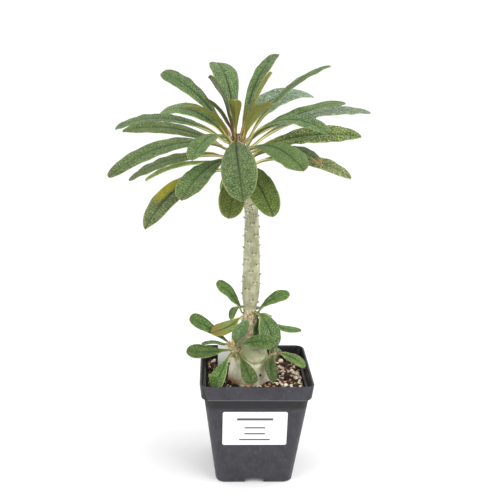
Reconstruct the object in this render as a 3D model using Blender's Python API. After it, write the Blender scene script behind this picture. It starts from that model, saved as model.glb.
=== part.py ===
"""A potted dorstenia: a square nursery pot of grit, a swollen grey trunk and its crown of long leaves.

Metres, +Z up. The origin is the centre of the pot's underside, and the labelled side of the pot faces -Y.
Angles are in degrees. An azimuth of 0 points to +X, and 270 points to -Y, out of the labelled side.
"""

from math import cos, pi, radians, sin
from typing import NamedTuple

import bmesh
import bpy
import numpy as np
from mathutils import Matrix, Vector

# Clearance between pieces that touch, and the four sides of the pot
GAP = 0.0003
QUARTERS = (0, 90, 180, 270)

# Pot
POT_HEIGHT = 0.088
RIM_WIDTH = 0.088
COLLAR_HEIGHT = 0.012
COLLAR_FOOT_WIDTH = 0.0855
BODY_TOP_WIDTH = 0.0814
BASE_WIDTH = 0.061
WALL = 0.0014
RIM_WALL = 0.0016
FLOOR = 0.0018
RIM_CORNER = 0.0075
BODY_CORNER = 0.0080
EDGE_ROUND = 0.0007
CORNER_STEPS = 4
NOTCH_WIDTH = 0.0130
NOTCH_DEPTH = 0.0085
NOTCH_HEIGHT = 0.0050
SLOT_WIDTH = 0.0018
SLOT_PITCH = 0.0036
LUG_WIDTH = 0.0070
LUG_HEIGHT = 0.0014
LUG_DEPTH = 0.0012

# Label on the front of the pot
LABEL_WIDTH = 0.050
LABEL_HEIGHT = 0.030
LABEL_THICKNESS = 0.0004
LABEL_CORNER = 0.0015
LABEL_MIDDLE = (-0.001, 0.0508)

# Soil
SOIL_LEVEL = 0.0757
SOIL_FOOT = FLOOR + GAP
GRAINS = 48
GRAIN_SIZES = (0.0016, 0.0034)
GRAIN_SPREAD = 0.0375
GRAIN_SPACING = 0.0068
GRAIN_SQUEEZE = (0.7, 1.1)
GRAIN_PROUD = 0.15
CLEAR_OF_TAG = 0.006
HOLE_TOP = 0.1
SEED = 22

# White tag that stands in the soil behind the trunk
TAG_WIDTH = 0.0165
TAG_THICKNESS = 0.0009
TAG_LENGTH = 0.060
TAG_TOP = (-0.0213, 0.0300, 0.0945)
TAG_TURN = 3
TAG_LEAN = 6

# Trunk: heights, then the middle of the trunk in X and Y, then its radius
TRUNK_AXIS = (
    (0.050, -0.0048, 0.0010),
    (0.100, -0.0042, 0.0005),
    (0.132, -0.0050, 0.0000),
    (0.155, -0.0046, 0.0000),
    (0.190, -0.0048, 0.0000),
    (0.214, -0.0057, 0.0000),
    (0.231, -0.0088, 0.0000),
    (0.246, -0.0130, 0.0000),
    (0.260, -0.0163, 0.0000),
    (0.275, -0.0184, 0.0000),
)
TRUNK_RADIUS = (
    (0.050, 0.0120),
    (0.060, 0.0165),
    (0.070, 0.0185),
    (0.079, 0.0180),
    (0.088, 0.0160),
    (0.096, 0.0138),
    (0.104, 0.0122),
    (0.112, 0.0100),
    (0.119, 0.0077),
    (0.125, 0.0060),
    (0.1305, 0.0047),
    (0.1345, 0.0044),
    (0.1400, 0.0057),
    (0.1470, 0.0067),
    (0.1560, 0.0069),
    (0.1750, 0.0065),
    (0.1950, 0.0058),
    (0.2150, 0.0053),
    (0.2350, 0.0053),
    (0.2480, 0.0059),
    (0.2600, 0.0062),
    (0.2665, 0.0057),
    (0.2710, 0.0046),
    (0.2735, 0.0028),
)
TRUNK_TIP = 0.2745
TRUNK_SIDES = 16
RING_SPACING = 0.011

# Ridges of the swollen foot: depth, the heights they fade between, and each wave's count, phase and share
LOBE_DEPTH = 0.070
LOBE_HEIGHTS = (0.092, 0.126)
LOBE_WAVES = ((3, 35, 0.6), (5, -60, 0.4))

# Leaf scars up the stem, each with a hard pointed stipule
SCARS = 38
SCAR_START = 0.146
SCAR_END = 0.239
SCAR_TURN = 137.5
SCAR_SIZE = 0.0008
SCAR_REACH = 0.0012
SCAR_LIFT = 0.5

# Papery scales round the neck
NECK_SCALES = 8
NECK_HEIGHT = 0.1270
SCALE_SIZE = 0.0009
SCALE_REACH = 0.0022
SCALE_LIFT = 0.3

# Side shoots: root and head of each short stub, its radius, and the spines of old stipules on its head
SHOOTS = {
    "left shoot": ((-0.0105, -0.0050, 0.0950), (-0.0158, -0.0090, 0.1030), 0.0038),
    "right shoot": ((0.0060, 0.0010, 0.0880), (0.0145, 0.0015, 0.0945), 0.0032),
}
STUB_SIDES = 8
STUB_FLARE = 1.15
STUB_ROUND = (0.6, 0.8)
SHOOT_SPINES = 5
SPINE_PLACE = 0.45
SPINE_SIZE = 0.0006
SPINE_REACH = 0.0020

# Thorns, scales and spines: how deep they are sunk for their size, and a direction none of them has
THORN_SINK = 1.5
ASLANT = (0.3, 0.2, 1.0)

# Leaves: where they are cut across, in shares of the length
STALK_STATIONS = (0.0, 0.05, 0.12)
BLADE_STATIONS = (0.20, 0.92)
TIP_STATION = 0.975
STATIONS = 11

# Leaf stalks, which leave the skin straight and then turn, over this length or this share of a short leaf
PETIOLE_LEAST = 0.0007
PETIOLE_GROWTH = 0.075
PETIOLE_DEPTH = 0.8
PETIOLE_SHARE = 0.12
PETIOLE_TOP = 0.35
PETIOLE_SIDE = 0.35
TURN_LENGTH = 0.007
TURN_SHARE = 0.11
SHOOT_LEAN = 0.4

# Leaf blades
BLADE_SPREAD = 0.25
ROLL_SHARE = 0.45
FOLD = 0.26
CURL = 0.16
GROOVE = 0.0004
RIB_DEPTH = 0.0011
EDGE_DEPTH = 0.0007
TAPER = 1.2
BLUNT = 0.5
TOP_COLUMNS = (-1.0, -0.5, 0.0, 0.5, 1.0)
UNDER_COLUMNS = (0.85, 0.0, -0.85)


class Leaf(NamedTuple):
    """One leaf. Its seat is a height on the stem or the name of a side shoot.

    rise and droop are the elevations of its midrib at the base and at the tip. roll turns the blade about
    the midrib, sweep bends the midrib sideways, and fold lifts the margins. A larger taper makes the blade
    narrower towards its base, and a larger blunt makes it narrower towards its tip.
    """

    seat: float | str
    azimuth: float
    rise: float
    droop: float
    length: float
    width: float
    roll: float = 0
    sweep: float = 0
    fold: float = FOLD
    taper: float = TAPER
    blunt: float = BLUNT


CROWN_LEAVES = (
    Leaf(0.2680, 130, 56, 17, 0.087, 0.0160, roll=-28, sweep=22, fold=0.2, taper=1.4, blunt=0.3),
    Leaf(0.2690, 101, 85, 15, 0.080, 0.0220, roll=5, sweep=9, fold=0.32, taper=1.7),
    Leaf(0.2705, 248, 84, 26, 0.061, 0.0105, roll=-62, sweep=-17, fold=0.2),
    Leaf(0.2725, 234, 66, 24, 0.043, 0.0060, roll=-8, sweep=-16),
    Leaf(0.2735, 265, 80, 32, 0.035, 0.0090, roll=-8, fold=0.3, taper=1.5, blunt=0.3),
    Leaf(0.2735, 330, 80, 78, 0.024, 0.0055),
    Leaf(0.2695, 59, 85, 27, 0.081, 0.0135, sweep=-12, fold=0.32, taper=1.1, blunt=0.35),
    Leaf(0.2720, 305, 70, 42, 0.060, 0.0090, roll=60, fold=0.35),
    Leaf(0.2680, 19, 66, 17, 0.091, 0.0160, sweep=-4, fold=0.23, blunt=0.35),
    Leaf(0.2670, 60, 61, -17, 0.095, 0.0220, roll=20, sweep=-34, taper=0.7, blunt=0.55),
    Leaf(0.2690, 307, 80, 7, 0.049, 0.0135, roll=-8, fold=0.34),
    Leaf(0.2660, 34, 30, 6, 0.097, 0.0190, roll=13, sweep=-15, taper=0.7, blunt=0.4),
    Leaf(0.2620, 12, 44, -10, 0.104, 0.0190, roll=13, sweep=-7, fold=0.2, taper=1.3),
    Leaf(0.2640, 311, 60, -31, 0.084, 0.0155, roll=21, sweep=14, taper=1.1),
    Leaf(0.2590, 323, 31, -5, 0.096, 0.0185, roll=38, sweep=6, taper=0.9, blunt=0.65),
    Leaf(0.2590, 292, 34, -32, 0.088, 0.0200, roll=18, sweep=10, fold=0.15, taper=1.4),
    Leaf(0.2540, 307, 39, -25, 0.084, 0.0175, fold=0.3, taper=1.1, blunt=0.65),
    Leaf(0.2500, 316, 30, -27, 0.093, 0.0175, roll=14, sweep=8, fold=0.2, taper=1.1, blunt=0.6),
    Leaf(0.2665, 265, 14, -44, 0.101, 0.0245, roll=15, sweep=13, fold=0.3, taper=1.4, blunt=0.6),
    Leaf(0.2490, 272, 19, -43, 0.092, 0.0205, roll=15, sweep=21, fold=0.3, taper=1.1),
    Leaf(0.2470, 266, 19, -42, 0.091, 0.0185, roll=-14, sweep=-8, taper=1.1, blunt=0.4),
    Leaf(0.2550, 245, 17, -38, 0.088, 0.0200, roll=-6, sweep=-5, fold=0.3, taper=1.5),
    Leaf(0.2480, 221, 10, -46, 0.102, 0.0180, roll=-15, sweep=14, fold=0.3, taper=1.3, blunt=0.7),
    Leaf(0.2665, 243, 42, -47, 0.069, 0.0165, sweep=-3, taper=1.4),
    Leaf(0.2620, 229, 27, -37, 0.113, 0.0160, roll=-22, sweep=-23, taper=0.7, blunt=0.4),
    Leaf(0.2560, 155, 7, -37, 0.092, 0.0185, roll=-24, sweep=9, fold=0.2, taper=0.9),
    Leaf(0.2510, 209, 22, -32, 0.073, 0.0125, sweep=-11, taper=0.9),
    Leaf(0.2660, 151, 36, -27, 0.101, 0.0185, roll=-18, sweep=17, taper=1.1, blunt=0.35),
    Leaf(0.2625, 201, 38, -14, 0.085, 0.0155, roll=-28, sweep=-7, fold=0.2, taper=0.7, blunt=0.6),
    Leaf(0.2650, 131, 52, -25, 0.089, 0.0200, roll=-24, sweep=9, taper=1.3),
    Leaf(0.2680, 233, 69, -3, 0.061, 0.0095, sweep=-16, taper=0.9, blunt=0.55),
    Leaf(0.2540, 92, 6, -26, 0.086, 0.0190),
    Leaf(0.2470, 78, 0, -50, 0.084, 0.0190),
    Leaf(0.2470, 97, -6, -50, 0.080, 0.0175),
)
LOWER_LEAVES = (
    Leaf(0.1325, 199, 77, 30, 0.036, 0.0105, roll=-50, sweep=-17, fold=0.2, taper=1.0, blunt=0.4),
    Leaf(0.1325, 348, 69, 3, 0.033, 0.0120, roll=36, sweep=3),
    Leaf(0.1330, 122, 25, -98, 0.031, 0.0085, taper=1.0, blunt=0.65),
    Leaf(0.1295, 43, -32, -2, 0.021, 0.0065, taper=1.3),
    Leaf(0.1300, 316, -55, -96, 0.0235, 0.0130, roll=12, fold=0.1, taper=0.8, blunt=0.7),
    Leaf(0.1330, 320, -14, -103, 0.0365, 0.0215, roll=10, fold=0.2, taper=0.8, blunt=0.65),
    Leaf(0.1290, 3, -48, 5, 0.040, 0.0095, roll=14, fold=0.35),
    Leaf("left shoot", 168, 45, 24, 0.042, 0.0130, roll=-34, sweep=8, fold=0.3, taper=1.5, blunt=0.4),
    Leaf(0.1290, 209, -32, -7, 0.030, 0.0155, roll=-17, sweep=-10, taper=0.95, blunt=0.55),
    Leaf("left shoot", 299, 74, 56, 0.0295, 0.0135, roll=-12, sweep=16, taper=0.7, blunt=0.6),
    Leaf("left shoot", 201, 2, 5, 0.0365, 0.0140, roll=-32, sweep=-17, fold=0.35, taper=1.3),
    Leaf("left shoot", 142, 20, -33, 0.029, 0.0080, roll=36, sweep=14, taper=1.1),
    Leaf("left shoot", 231, -31, -70, 0.032, 0.0160, sweep=-8, fold=0.4, taper=1.5, blunt=0.45),
    Leaf("left shoot", 303, -26, -49, 0.029, 0.0140, sweep=-7, taper=1.35),
    Leaf("left shoot", 322, 42, -6, 0.037, 0.0110, roll=62, sweep=9),
    Leaf("right shoot", 330, 18, -46, 0.027, 0.0120, roll=12, sweep=5, taper=0.8, blunt=0.55),
    Leaf("right shoot", 245, -4, -51, 0.027, 0.0120, roll=-22, sweep=50, taper=0.8, blunt=0.55),
    Leaf("right shoot", 68, 3, -25, 0.015, 0.0100, roll=30, sweep=-11, taper=1.0),
    Leaf(0.1330, 80, 0, -36, 0.030, 0.0120),
    Leaf(0.1285, 92, -30, -80, 0.024, 0.0090),
)


def clear_scene():
    for old in list(bpy.data.objects):
        bpy.data.objects.remove(old)


def make_material(name, colour, roughness):
    material = bpy.data.materials.new(name)
    material.use_nodes = True
    shader = material.node_tree.nodes["Principled BSDF"]
    shader.inputs["Base Color"].default_value = (*colour, 1)
    shader.inputs["Roughness"].default_value = roughness
    return material


def make_object(name, points, faces, material=None):
    """A mesh object with its normals facing out."""
    mesh = bpy.data.meshes.new(name)
    mesh.from_pydata([tuple(point) for point in points], [], faces)
    work = bmesh.new()
    work.from_mesh(mesh)
    bmesh.ops.recalc_face_normals(work, faces=work.faces)
    work.to_mesh(mesh)
    work.free()
    if material:
        mesh.materials.append(material)
    made = bpy.data.objects.new(name, mesh)
    bpy.context.collection.objects.link(made)
    return made


def loft(name, rings, material=None, tip=None):
    """A closed solid through rings of equal counts, with a flat cap at each end or a tip at the last."""
    sides = len(rings[0])
    points = [point for ring in rings for point in ring]
    faces = []
    for low in range(0, len(points) - sides, sides):
        for side in range(sides):
            after = (side + 1) % sides
            faces.append((low + side, low + after, low + after + sides, low + side + sides))
    faces.append(tuple(range(sides)))
    last = len(points) - sides
    if tip is None:
        faces.append(tuple(range(last, len(points))))
    else:
        faces += [(last + side, last + (side + 1) % sides, len(points)) for side in range(sides)]
        points.append(tip)
    return make_object(name, points, faces, material)


def make_box(name, low, high, turn=0):
    """A box between two corners, turned about the pot's axis."""
    corners = [(x, y, z) for z in (low[2], high[2]) for x, y in rectangle(low, high)]
    turned = Matrix.Rotation(radians(turn), 3, "Z")
    places = [turned @ Vector(corner) for corner in corners]
    return loft(name, [places[:4], places[4:]])


def rectangle(low, high):
    return (low[0], low[1]), (high[0], low[1]), (high[0], high[1]), (low[0], high[1])


def combine(target, others, operation):
    """Applies one Boolean of all the others to the target, then removes them."""
    group = bpy.data.collections.new(target.name + " tools")
    bpy.context.scene.collection.children.link(group)
    for other in others:
        other.hide_render = True
        other.display_type = "WIRE"
        bpy.context.collection.objects.unlink(other)
        group.objects.link(other)
    modifier = target.modifiers.new(operation.lower(), "BOOLEAN")
    modifier.operation = operation
    modifier.operand_type = "COLLECTION"
    modifier.collection = group
    modifier.solver = "EXACT"
    graph = bpy.context.evaluated_depsgraph_get()
    result = bpy.data.meshes.new_from_object(target.evaluated_get(graph))
    target.modifiers.clear()
    target.data = result
    for other in others:
        bpy.data.objects.remove(other)
    bpy.data.collections.remove(group)


def shade_smooth(made, angle=35):
    made.data.shade_smooth()
    made.data.set_sharp_from_angle(angle=radians(angle))


def heading(azimuth, elevation):
    """The unit vector at these two angles, in degrees."""
    flat = cos(radians(elevation))
    return np.array((flat * cos(radians(azimuth)), flat * sin(radians(azimuth)), sin(radians(elevation))))


def unit(vector):
    return vector / np.linalg.norm(vector)


def ease(low, high, value):
    """0 below low, 1 above high, and a smooth step between."""
    share = np.clip((value - low) / (high - low), 0, 1)
    return share * share * (3 - 2 * share)


def read_curve(rows, height):
    """The values at a height on a smooth curve through the rows, whose first entries are their heights."""
    table = np.array(rows)
    heights, values = table[:, 0], table[:, 1:]
    slopes = np.gradient(values, heights, axis=0)
    place = int(np.clip(np.searchsorted(heights, height) - 1, 0, len(heights) - 2))
    span = heights[place + 1] - heights[place]
    t = np.clip((height - heights[place]) / span, 0, 1)
    start, end = values[place], values[place + 1]
    bulge = (slopes[place] * (1 - t) - slopes[place + 1] * t) * span * t * (1 - t)
    return start + (end - start) * t * t * (3 - 2 * t) + bulge


def square_ring(width, corner, height):
    """A square with rounded corners, centred on the pot's axis."""
    ring = []
    for quarter in range(4):
        middle = heading(45 + 90 * quarter, 0) * (width / 2 - corner) * 2**0.5
        for step in range(CORNER_STEPS + 1):
            edge = heading(90 * (quarter + step / CORNER_STEPS), 0) * corner
            ring.append((middle[0] + edge[0], middle[1] + edge[1], height))
    return ring


def body_width(height):
    """The outer width of the tapered body, without the collar."""
    return BASE_WIDTH + (BODY_TOP_WIDTH - BASE_WIDTH) * height / (POT_HEIGHT - COLLAR_HEIGHT)


def pot_rings():
    """Up the outside from the underside, over the rim, and down the inside to the floor."""
    collar_foot = POT_HEIGHT - COLLAR_HEIGHT
    outside = [
        (0.0, body_width(0) - 3 * EDGE_ROUND, BODY_CORNER - EDGE_ROUND),
        (0.6 * EDGE_ROUND, body_width(0) - EDGE_ROUND, BODY_CORNER),
        (3 * EDGE_ROUND, body_width(3 * EDGE_ROUND), BODY_CORNER),
        (collar_foot, body_width(collar_foot), BODY_CORNER),
        (collar_foot, COLLAR_FOOT_WIDTH - EDGE_ROUND, BODY_CORNER),
        (collar_foot + EDGE_ROUND, COLLAR_FOOT_WIDTH, BODY_CORNER),
        (POT_HEIGHT - EDGE_ROUND, RIM_WIDTH, RIM_CORNER),
        (POT_HEIGHT, RIM_WIDTH - EDGE_ROUND, RIM_CORNER - EDGE_ROUND / 2),
    ]
    shoulder = collar_foot + WALL
    inside = [
        (POT_HEIGHT, RIM_WIDTH - 2 * RIM_WALL + EDGE_ROUND, RIM_CORNER - RIM_WALL),
        (POT_HEIGHT - EDGE_ROUND, RIM_WIDTH - 2 * RIM_WALL, RIM_CORNER - RIM_WALL),
        (shoulder + EDGE_ROUND, COLLAR_FOOT_WIDTH - 2 * RIM_WALL, BODY_CORNER - RIM_WALL),
        (shoulder, body_width(collar_foot) - 2 * WALL, BODY_CORNER - WALL),
        (FLOOR, body_width(FLOOR) - 2 * WALL, BODY_CORNER - WALL),
    ]
    return [square_ring(width, corner, height) for height, width, corner in outside + inside]


def notch_box(name, turn, grown, foot, outer):
    """A drainage notch's box at the foot of one side, grown by a wall or a clearance."""
    inner = body_width(0) / 2 - NOTCH_DEPTH - grown
    low = (-NOTCH_WIDTH / 2 - grown, -outer, foot)
    return make_box(name, low, (NOTCH_WIDTH / 2 + grown, -inner, NOTCH_HEIGHT + grown), turn)


def notch_slots(turn):
    """Three small drainage slots through the inner wall of a notch."""
    inner = body_width(0) / 2 - NOTCH_DEPTH
    slots = []
    for place in (-1, 0, 1):
        low = (place * SLOT_PITCH - SLOT_WIDTH / 2, -inner - WALL, FLOOR + GAP)
        high = (place * SLOT_PITCH + SLOT_WIDTH / 2, -inner + 2 * WALL, NOTCH_HEIGHT - WALL / 2)
        slots.append(make_box("slot", low, high, turn))
    return slots


def collar_lug(turn):
    """The small moulded lug under the middle of the collar."""
    collar_foot = POT_HEIGHT - COLLAR_HEIGHT
    face = body_width(collar_foot) / 2
    low = (-LUG_WIDTH / 2, -face - LUG_DEPTH, collar_foot - LUG_HEIGHT)
    high = (LUG_WIDTH / 2, -face + WALL / 2, collar_foot + WALL / 2)
    return make_box("lug", low, high, turn)


def build_pot():
    plastic = make_material("charcoal plastic", (0.045, 0.046, 0.052), 0.45)
    pot = loft("pot", pot_rings(), plastic)
    within_wall = (body_width(NOTCH_HEIGHT) - WALL) / 2
    housings = [notch_box("housing", turn, WALL, FLOOR / 2, within_wall) for turn in QUARTERS]
    combine(pot, housings + [collar_lug(turn) for turn in QUARTERS], "UNION")
    notches = [notch_box("notch", turn, 0, -FLOOR, RIM_WIDTH / 2) for turn in QUARTERS]
    combine(pot, notches + [slot for turn in QUARTERS for slot in notch_slots(turn)], "DIFFERENCE")
    shade_smooth(pot)
    return pot


def build_label():
    """A thin plate with round corners, lying on the sloping front of the pot."""
    paper = make_material("label paper", (0.85, 0.85, 0.86), 0.6)
    across, up = LABEL_WIDTH / 2 - LABEL_CORNER, LABEL_HEIGHT / 2 - LABEL_CORNER
    outline = []
    for quarter, (side_x, side_z) in enumerate(((1, 1), (-1, 1), (-1, -1), (1, -1))):
        for step in range(CORNER_STEPS + 1):
            edge = heading(90 * (quarter + step / CORNER_STEPS), 0) * LABEL_CORNER
            outline.append((side_x * across + edge[0], side_z * up + edge[1]))
    slope = (BODY_TOP_WIDTH - BASE_WIDTH) / 2 / (POT_HEIGHT - COLLAR_HEIGHT)
    lean = Vector((0, -slope, 1)).normalized()
    outward = Vector((0, -1, -slope)).normalized()
    middle = Vector((LABEL_MIDDLE[0], -body_width(LABEL_MIDDLE[1]) / 2, LABEL_MIDDLE[1]))
    rings = []
    for proud in (GAP, GAP + LABEL_THICKNESS):
        rings.append([middle + Vector((x, 0, 0)) + lean * z + outward * proud for x, z in outline])
    return loft("label_sticker", rings, paper)


def trunk_axis(height):
    return np.append(read_curve(TRUNK_AXIS, height), height)


def trunk_surface(height, azimuth, grown=0.0):
    """A point of the trunk's skin, or of the skin grown by a clearance."""
    lobes = sum(share * cos(radians(count * azimuth + phase)) for count, phase, share in LOBE_WAVES)
    depth = LOBE_DEPTH * (1 - ease(*LOBE_HEIGHTS, height))
    radius = float(read_curve(TRUNK_RADIUS, height)[0]) * (1 + depth * lobes) + grown
    return trunk_axis(height) + heading(azimuth, 0) * radius


def trunk_normal(height, azimuth):
    step = 0.0004
    up = trunk_surface(height + step, azimuth) - trunk_surface(height - step, azimuth)
    around = trunk_surface(height, azimuth + 1) - trunk_surface(height, azimuth - 1)
    return unit(np.cross(around, up))


def trunk_rings(highest=TRUNK_TIP, grown=0.0):
    """Rings at the heights of the radius table, and between those that lie far apart."""
    table = [row[0] for row in TRUNK_RADIUS]
    heights = []
    for start, end in zip(table, table[1:]):
        steps = 2 if end - start > RING_SPACING else 1
        heights += [start + (end - start) * step / steps for step in range(steps)]
    kept = [height for height in heights + [table[-1]] if height <= highest]
    turns = [360 * side / TRUNK_SIDES for side in range(TRUNK_SIDES)]
    return [[trunk_surface(height, turn, grown) for turn in turns] for height in kept]


def make_thorn(root, direction, size, reach):
    """A small four-sided point, sunk into what carries it."""
    side = unit(np.cross(direction, ASLANT))
    other = np.cross(direction, side)
    start = root - direction * size * THORN_SINK
    ring = [start + side * a * size + other * b * size for a, b in ((1, 0), (0, 1), (-1, 0), (0, -1))]
    return loft("thorn", [ring], tip=root + direction * reach)


def shoot_spokes(root, head, count):
    """Unit vectors square to a shoot's length, evenly round it."""
    along = unit(np.array(head) - np.array(root))
    side = unit(np.cross(along, (0, 0, 1)))
    other = np.cross(side, along)
    turns = [2 * pi * turn / count for turn in range(count)]
    return [side * cos(turn) + other * sin(turn) for turn in turns]


def make_stub(root, head, radius):
    """A short stub from inside the trunk to a round head."""
    root, head = np.array(root), np.array(head)
    along = unit(head - root)
    beyond, narrowed = STUB_ROUND
    rings = []
    for place, share in ((root, STUB_FLARE), (head, 1), (head + along * radius * beyond, narrowed)):
        rings.append([place + spoke * radius * share for spoke in shoot_spokes(root, head, STUB_SIDES)])
    return loft("stub", rings, tip=head + along * radius)


def build_trunk():
    """The swollen foot, neck and stem, with the side shoots, leaf scars and papery scales grown on."""
    bark = make_material("trunk bark", (0.42, 0.44, 0.34), 0.6)
    top = trunk_axis(TRUNK_TIP)
    trunk = loft("trunk", trunk_rings(), bark, tip=top)
    grown_on = [make_stub(*shoot) for shoot in SHOOTS.values()]
    for scar in range(SCARS):
        height = SCAR_START + (SCAR_END - SCAR_START) * scar / (SCARS - 1)
        turn = SCAR_TURN * scar
        direction = unit(heading(turn, 0) + np.array((0, 0, SCAR_LIFT)))
        grown_on.append(make_thorn(trunk_surface(height, turn), direction, SCAR_SIZE, SCAR_REACH))
    for scale in range(NECK_SCALES):
        turn = 360 * (scale + 0.5) / NECK_SCALES
        direction = unit(heading(turn, 0) + np.array((0, 0, SCALE_LIFT * (-1) ** scale)))
        grown_on.append(make_thorn(trunk_surface(NECK_HEIGHT, turn), direction, SCALE_SIZE, SCALE_REACH))
    for root, head, radius in SHOOTS.values():
        for spoke in shoot_spokes(root, head, SHOOT_SPINES):
            place = np.array(head) + (np.array(root) - head) * SPINE_PLACE + spoke * radius
            grown_on.append(make_thorn(place, spoke, SPINE_SIZE, SPINE_REACH))
    combine(trunk, grown_on, "UNION")
    shade_smooth(trunk, 50)
    return trunk


def tag_rings(grown=0.0):
    """The tag's outline at its foot and top, leaning back a little."""
    middle = Vector(TAG_TOP)
    across = Matrix.Rotation(radians(TAG_TURN), 3, "Z") @ Vector((1, 0, 0))
    down = Vector((0, -sin(radians(TAG_LEAN)), -cos(radians(TAG_LEAN))))
    through = across.cross(down).normalized()
    half, thick = TAG_WIDTH / 2 + grown, TAG_THICKNESS / 2 + grown
    signs = ((1, 1), (-1, 1), (-1, -1), (1, -1))
    corners = [across * half * a + through * thick * b for a, b in signs]
    ends = (middle + down * (TAG_LENGTH + grown), middle - down * grown)
    return [[end + corner for corner in corners] for end in ends]


def build_tag():
    return loft("plant_tag", tag_rings(), make_material("tag plastic", (0.80, 0.81, 0.82), 0.35))


def grain_places(rng):
    """Places for the grains, apart from each other and clear of the trunk and the tag."""
    tag = np.array(TAG_TOP[:2])
    trunk = trunk_axis(SOIL_LEVEL)[:2]
    clear_of_trunk = max(radius for _, radius in TRUNK_RADIUS) * (1 + LOBE_DEPTH) + GRAIN_SIZES[1]
    places = []
    while len(places) < GRAINS:
        place = rng.uniform(-GRAIN_SPREAD, GRAIN_SPREAD, 2)
        beside, behind = np.abs(place - tag)
        clear = beside > TAG_WIDTH / 2 + GRAIN_SIZES[1] or behind > CLEAR_OF_TAG
        clear = clear and np.linalg.norm(place - trunk) > clear_of_trunk
        if clear and all(np.linalg.norm(place - other) > GRAIN_SPACING for other in places):
            places.append(place)
    return places


def make_grain(place, size, rng):
    """A rough stone: an icosphere squeezed and turned at random."""
    mesh = bpy.data.meshes.new("grain")
    work = bmesh.new()
    turn = Matrix.Rotation(rng.uniform(0, pi), 4, Vector(rng.uniform(-1, 1, 3)).normalized())
    squeeze = Matrix.Diagonal((*rng.uniform(*GRAIN_SQUEEZE, 3), 1))
    lift = Matrix.Translation((place[0], place[1], SOIL_LEVEL + GRAIN_PROUD * size))
    bmesh.ops.create_icosphere(work, subdivisions=1, radius=size / 2, matrix=lift @ turn @ squeeze)
    work.to_mesh(mesh)
    work.free()
    made = bpy.data.objects.new("grain", mesh)
    bpy.context.collection.objects.link(made)
    return made


def build_soil():
    """A block that fills the pot, with stones in its top and plain holes for the trunk and the tag."""
    grit = make_material("gritty soil", (0.10, 0.055, 0.035), 0.95)
    rings = []
    for height in (SOIL_FOOT, SOIL_LEVEL):
        width = body_width(height) - 2 * (WALL + GAP)
        rings.append(square_ring(width, BODY_CORNER - WALL - GAP, height))
    soil = loft("soil", rings, grit)
    rng = np.random.default_rng(SEED)
    stones = [make_grain(place, rng.uniform(*GRAIN_SIZES), rng) for place in grain_places(rng)]
    combine(soil, stones, "UNION")
    foot = TRUNK_RADIUS[0][0]
    rings = trunk_rings(HOLE_TOP, grown=GAP)
    rings.insert(0, [(*point[:2], foot - GAP) for point in rings[0]])
    hole = loft("hole", rings)
    slot = loft("slot", tag_rings(grown=GAP))
    recesses = [notch_box("recess", turn, WALL + GAP, 0, RIM_WIDTH / 2) for turn in QUARTERS]
    combine(soil, [hole, slot, *recesses], "DIFFERENCE")
    return soil


def leaf_seat(leaf):
    """The point just clear of the skin where the leaf starts, and the direction straight out of the skin."""
    if isinstance(leaf.seat, str):
        root, head, radius = SHOOTS[leaf.seat]
        along = unit(np.array(head) - np.array(root))
        out = unit(heading(leaf.azimuth, leaf.rise) + SHOOT_LEAN * along)
        return np.array(head) + out * (radius + GAP), out
    out = trunk_normal(leaf.seat, leaf.azimuth)
    return trunk_surface(leaf.seat, leaf.azimuth) + out * GAP, out


def leaf_midrib(leaf, steps=60):
    """Points and directions along the midrib: straight out of the skin, then into the leaf's own arc."""
    point, out = leaf_seat(leaf)
    turn_length = min(TURN_LENGTH, TURN_SHARE * leaf.length)
    points, directions = [], []
    for step in range(steps + 1):
        share = step / steps
        turn = ease(0, turn_length, share * leaf.length)
        azimuth = leaf.azimuth + leaf.sweep * share
        own = heading(azimuth, leaf.rise + (leaf.droop - leaf.rise) * share)
        direction = unit(out * (1 - turn) + own * turn)
        points.append(point)
        directions.append(direction)
        point = point + direction * leaf.length / steps
    return np.array(points), np.array(directions)


def petiole_width(leaf):
    return PETIOLE_LEAST + PETIOLE_GROWTH * leaf.width


def half_width(leaf, share):
    """Half the width at a share of the length: a narrow stalk, a long taper and a round tip."""
    blade = np.clip((share - PETIOLE_SHARE) / (1 - PETIOLE_SHARE), 0, 1)
    peak = leaf.taper / (leaf.taper + leaf.blunt)
    form = blade**leaf.taper * (1 - blade) ** leaf.blunt
    form /= peak**leaf.taper * (1 - peak) ** leaf.blunt
    stalk = petiole_width(leaf) / 2 * (1 - blade)
    return stalk + (leaf.width / 2 - stalk) * form


def leaf_section(leaf, share):
    """Pairs across and up: the upper side from one margin to the other, then back along the underside."""
    half = half_width(leaf, share)
    blade = ease(PETIOLE_SHARE, PETIOLE_SHARE + BLADE_SPREAD, share)
    stalk = petiole_width(leaf) * PETIOLE_DEPTH * (1 - blade)

    def lift(across):
        return half * (leaf.fold * abs(across) - CURL * across * across) * blade

    section = []
    for across in TOP_COLUMNS:
        dome = stalk * PETIOLE_TOP * (1 - across * across)
        groove = GROOVE * blade if across == 0 else 0
        section.append((across * half, lift(across) + dome - groove))
    for across in UNDER_COLUMNS:
        depth = stalk * (1 - PETIOLE_TOP) * (1 - PETIOLE_SIDE * abs(across))
        blade_depth = RIB_DEPTH if across == 0 else EDGE_DEPTH
        section.append((across * half, lift(across) - depth - blade_depth * blade))
    return section


def leaf_stations():
    """Shares of the length, closer together at the stalk's turn and at the tip."""
    blade = np.linspace(*BLADE_STATIONS, STATIONS - len(STALK_STATIONS) - 1)
    return [*STALK_STATIONS, *blade, TIP_STATION]


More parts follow.
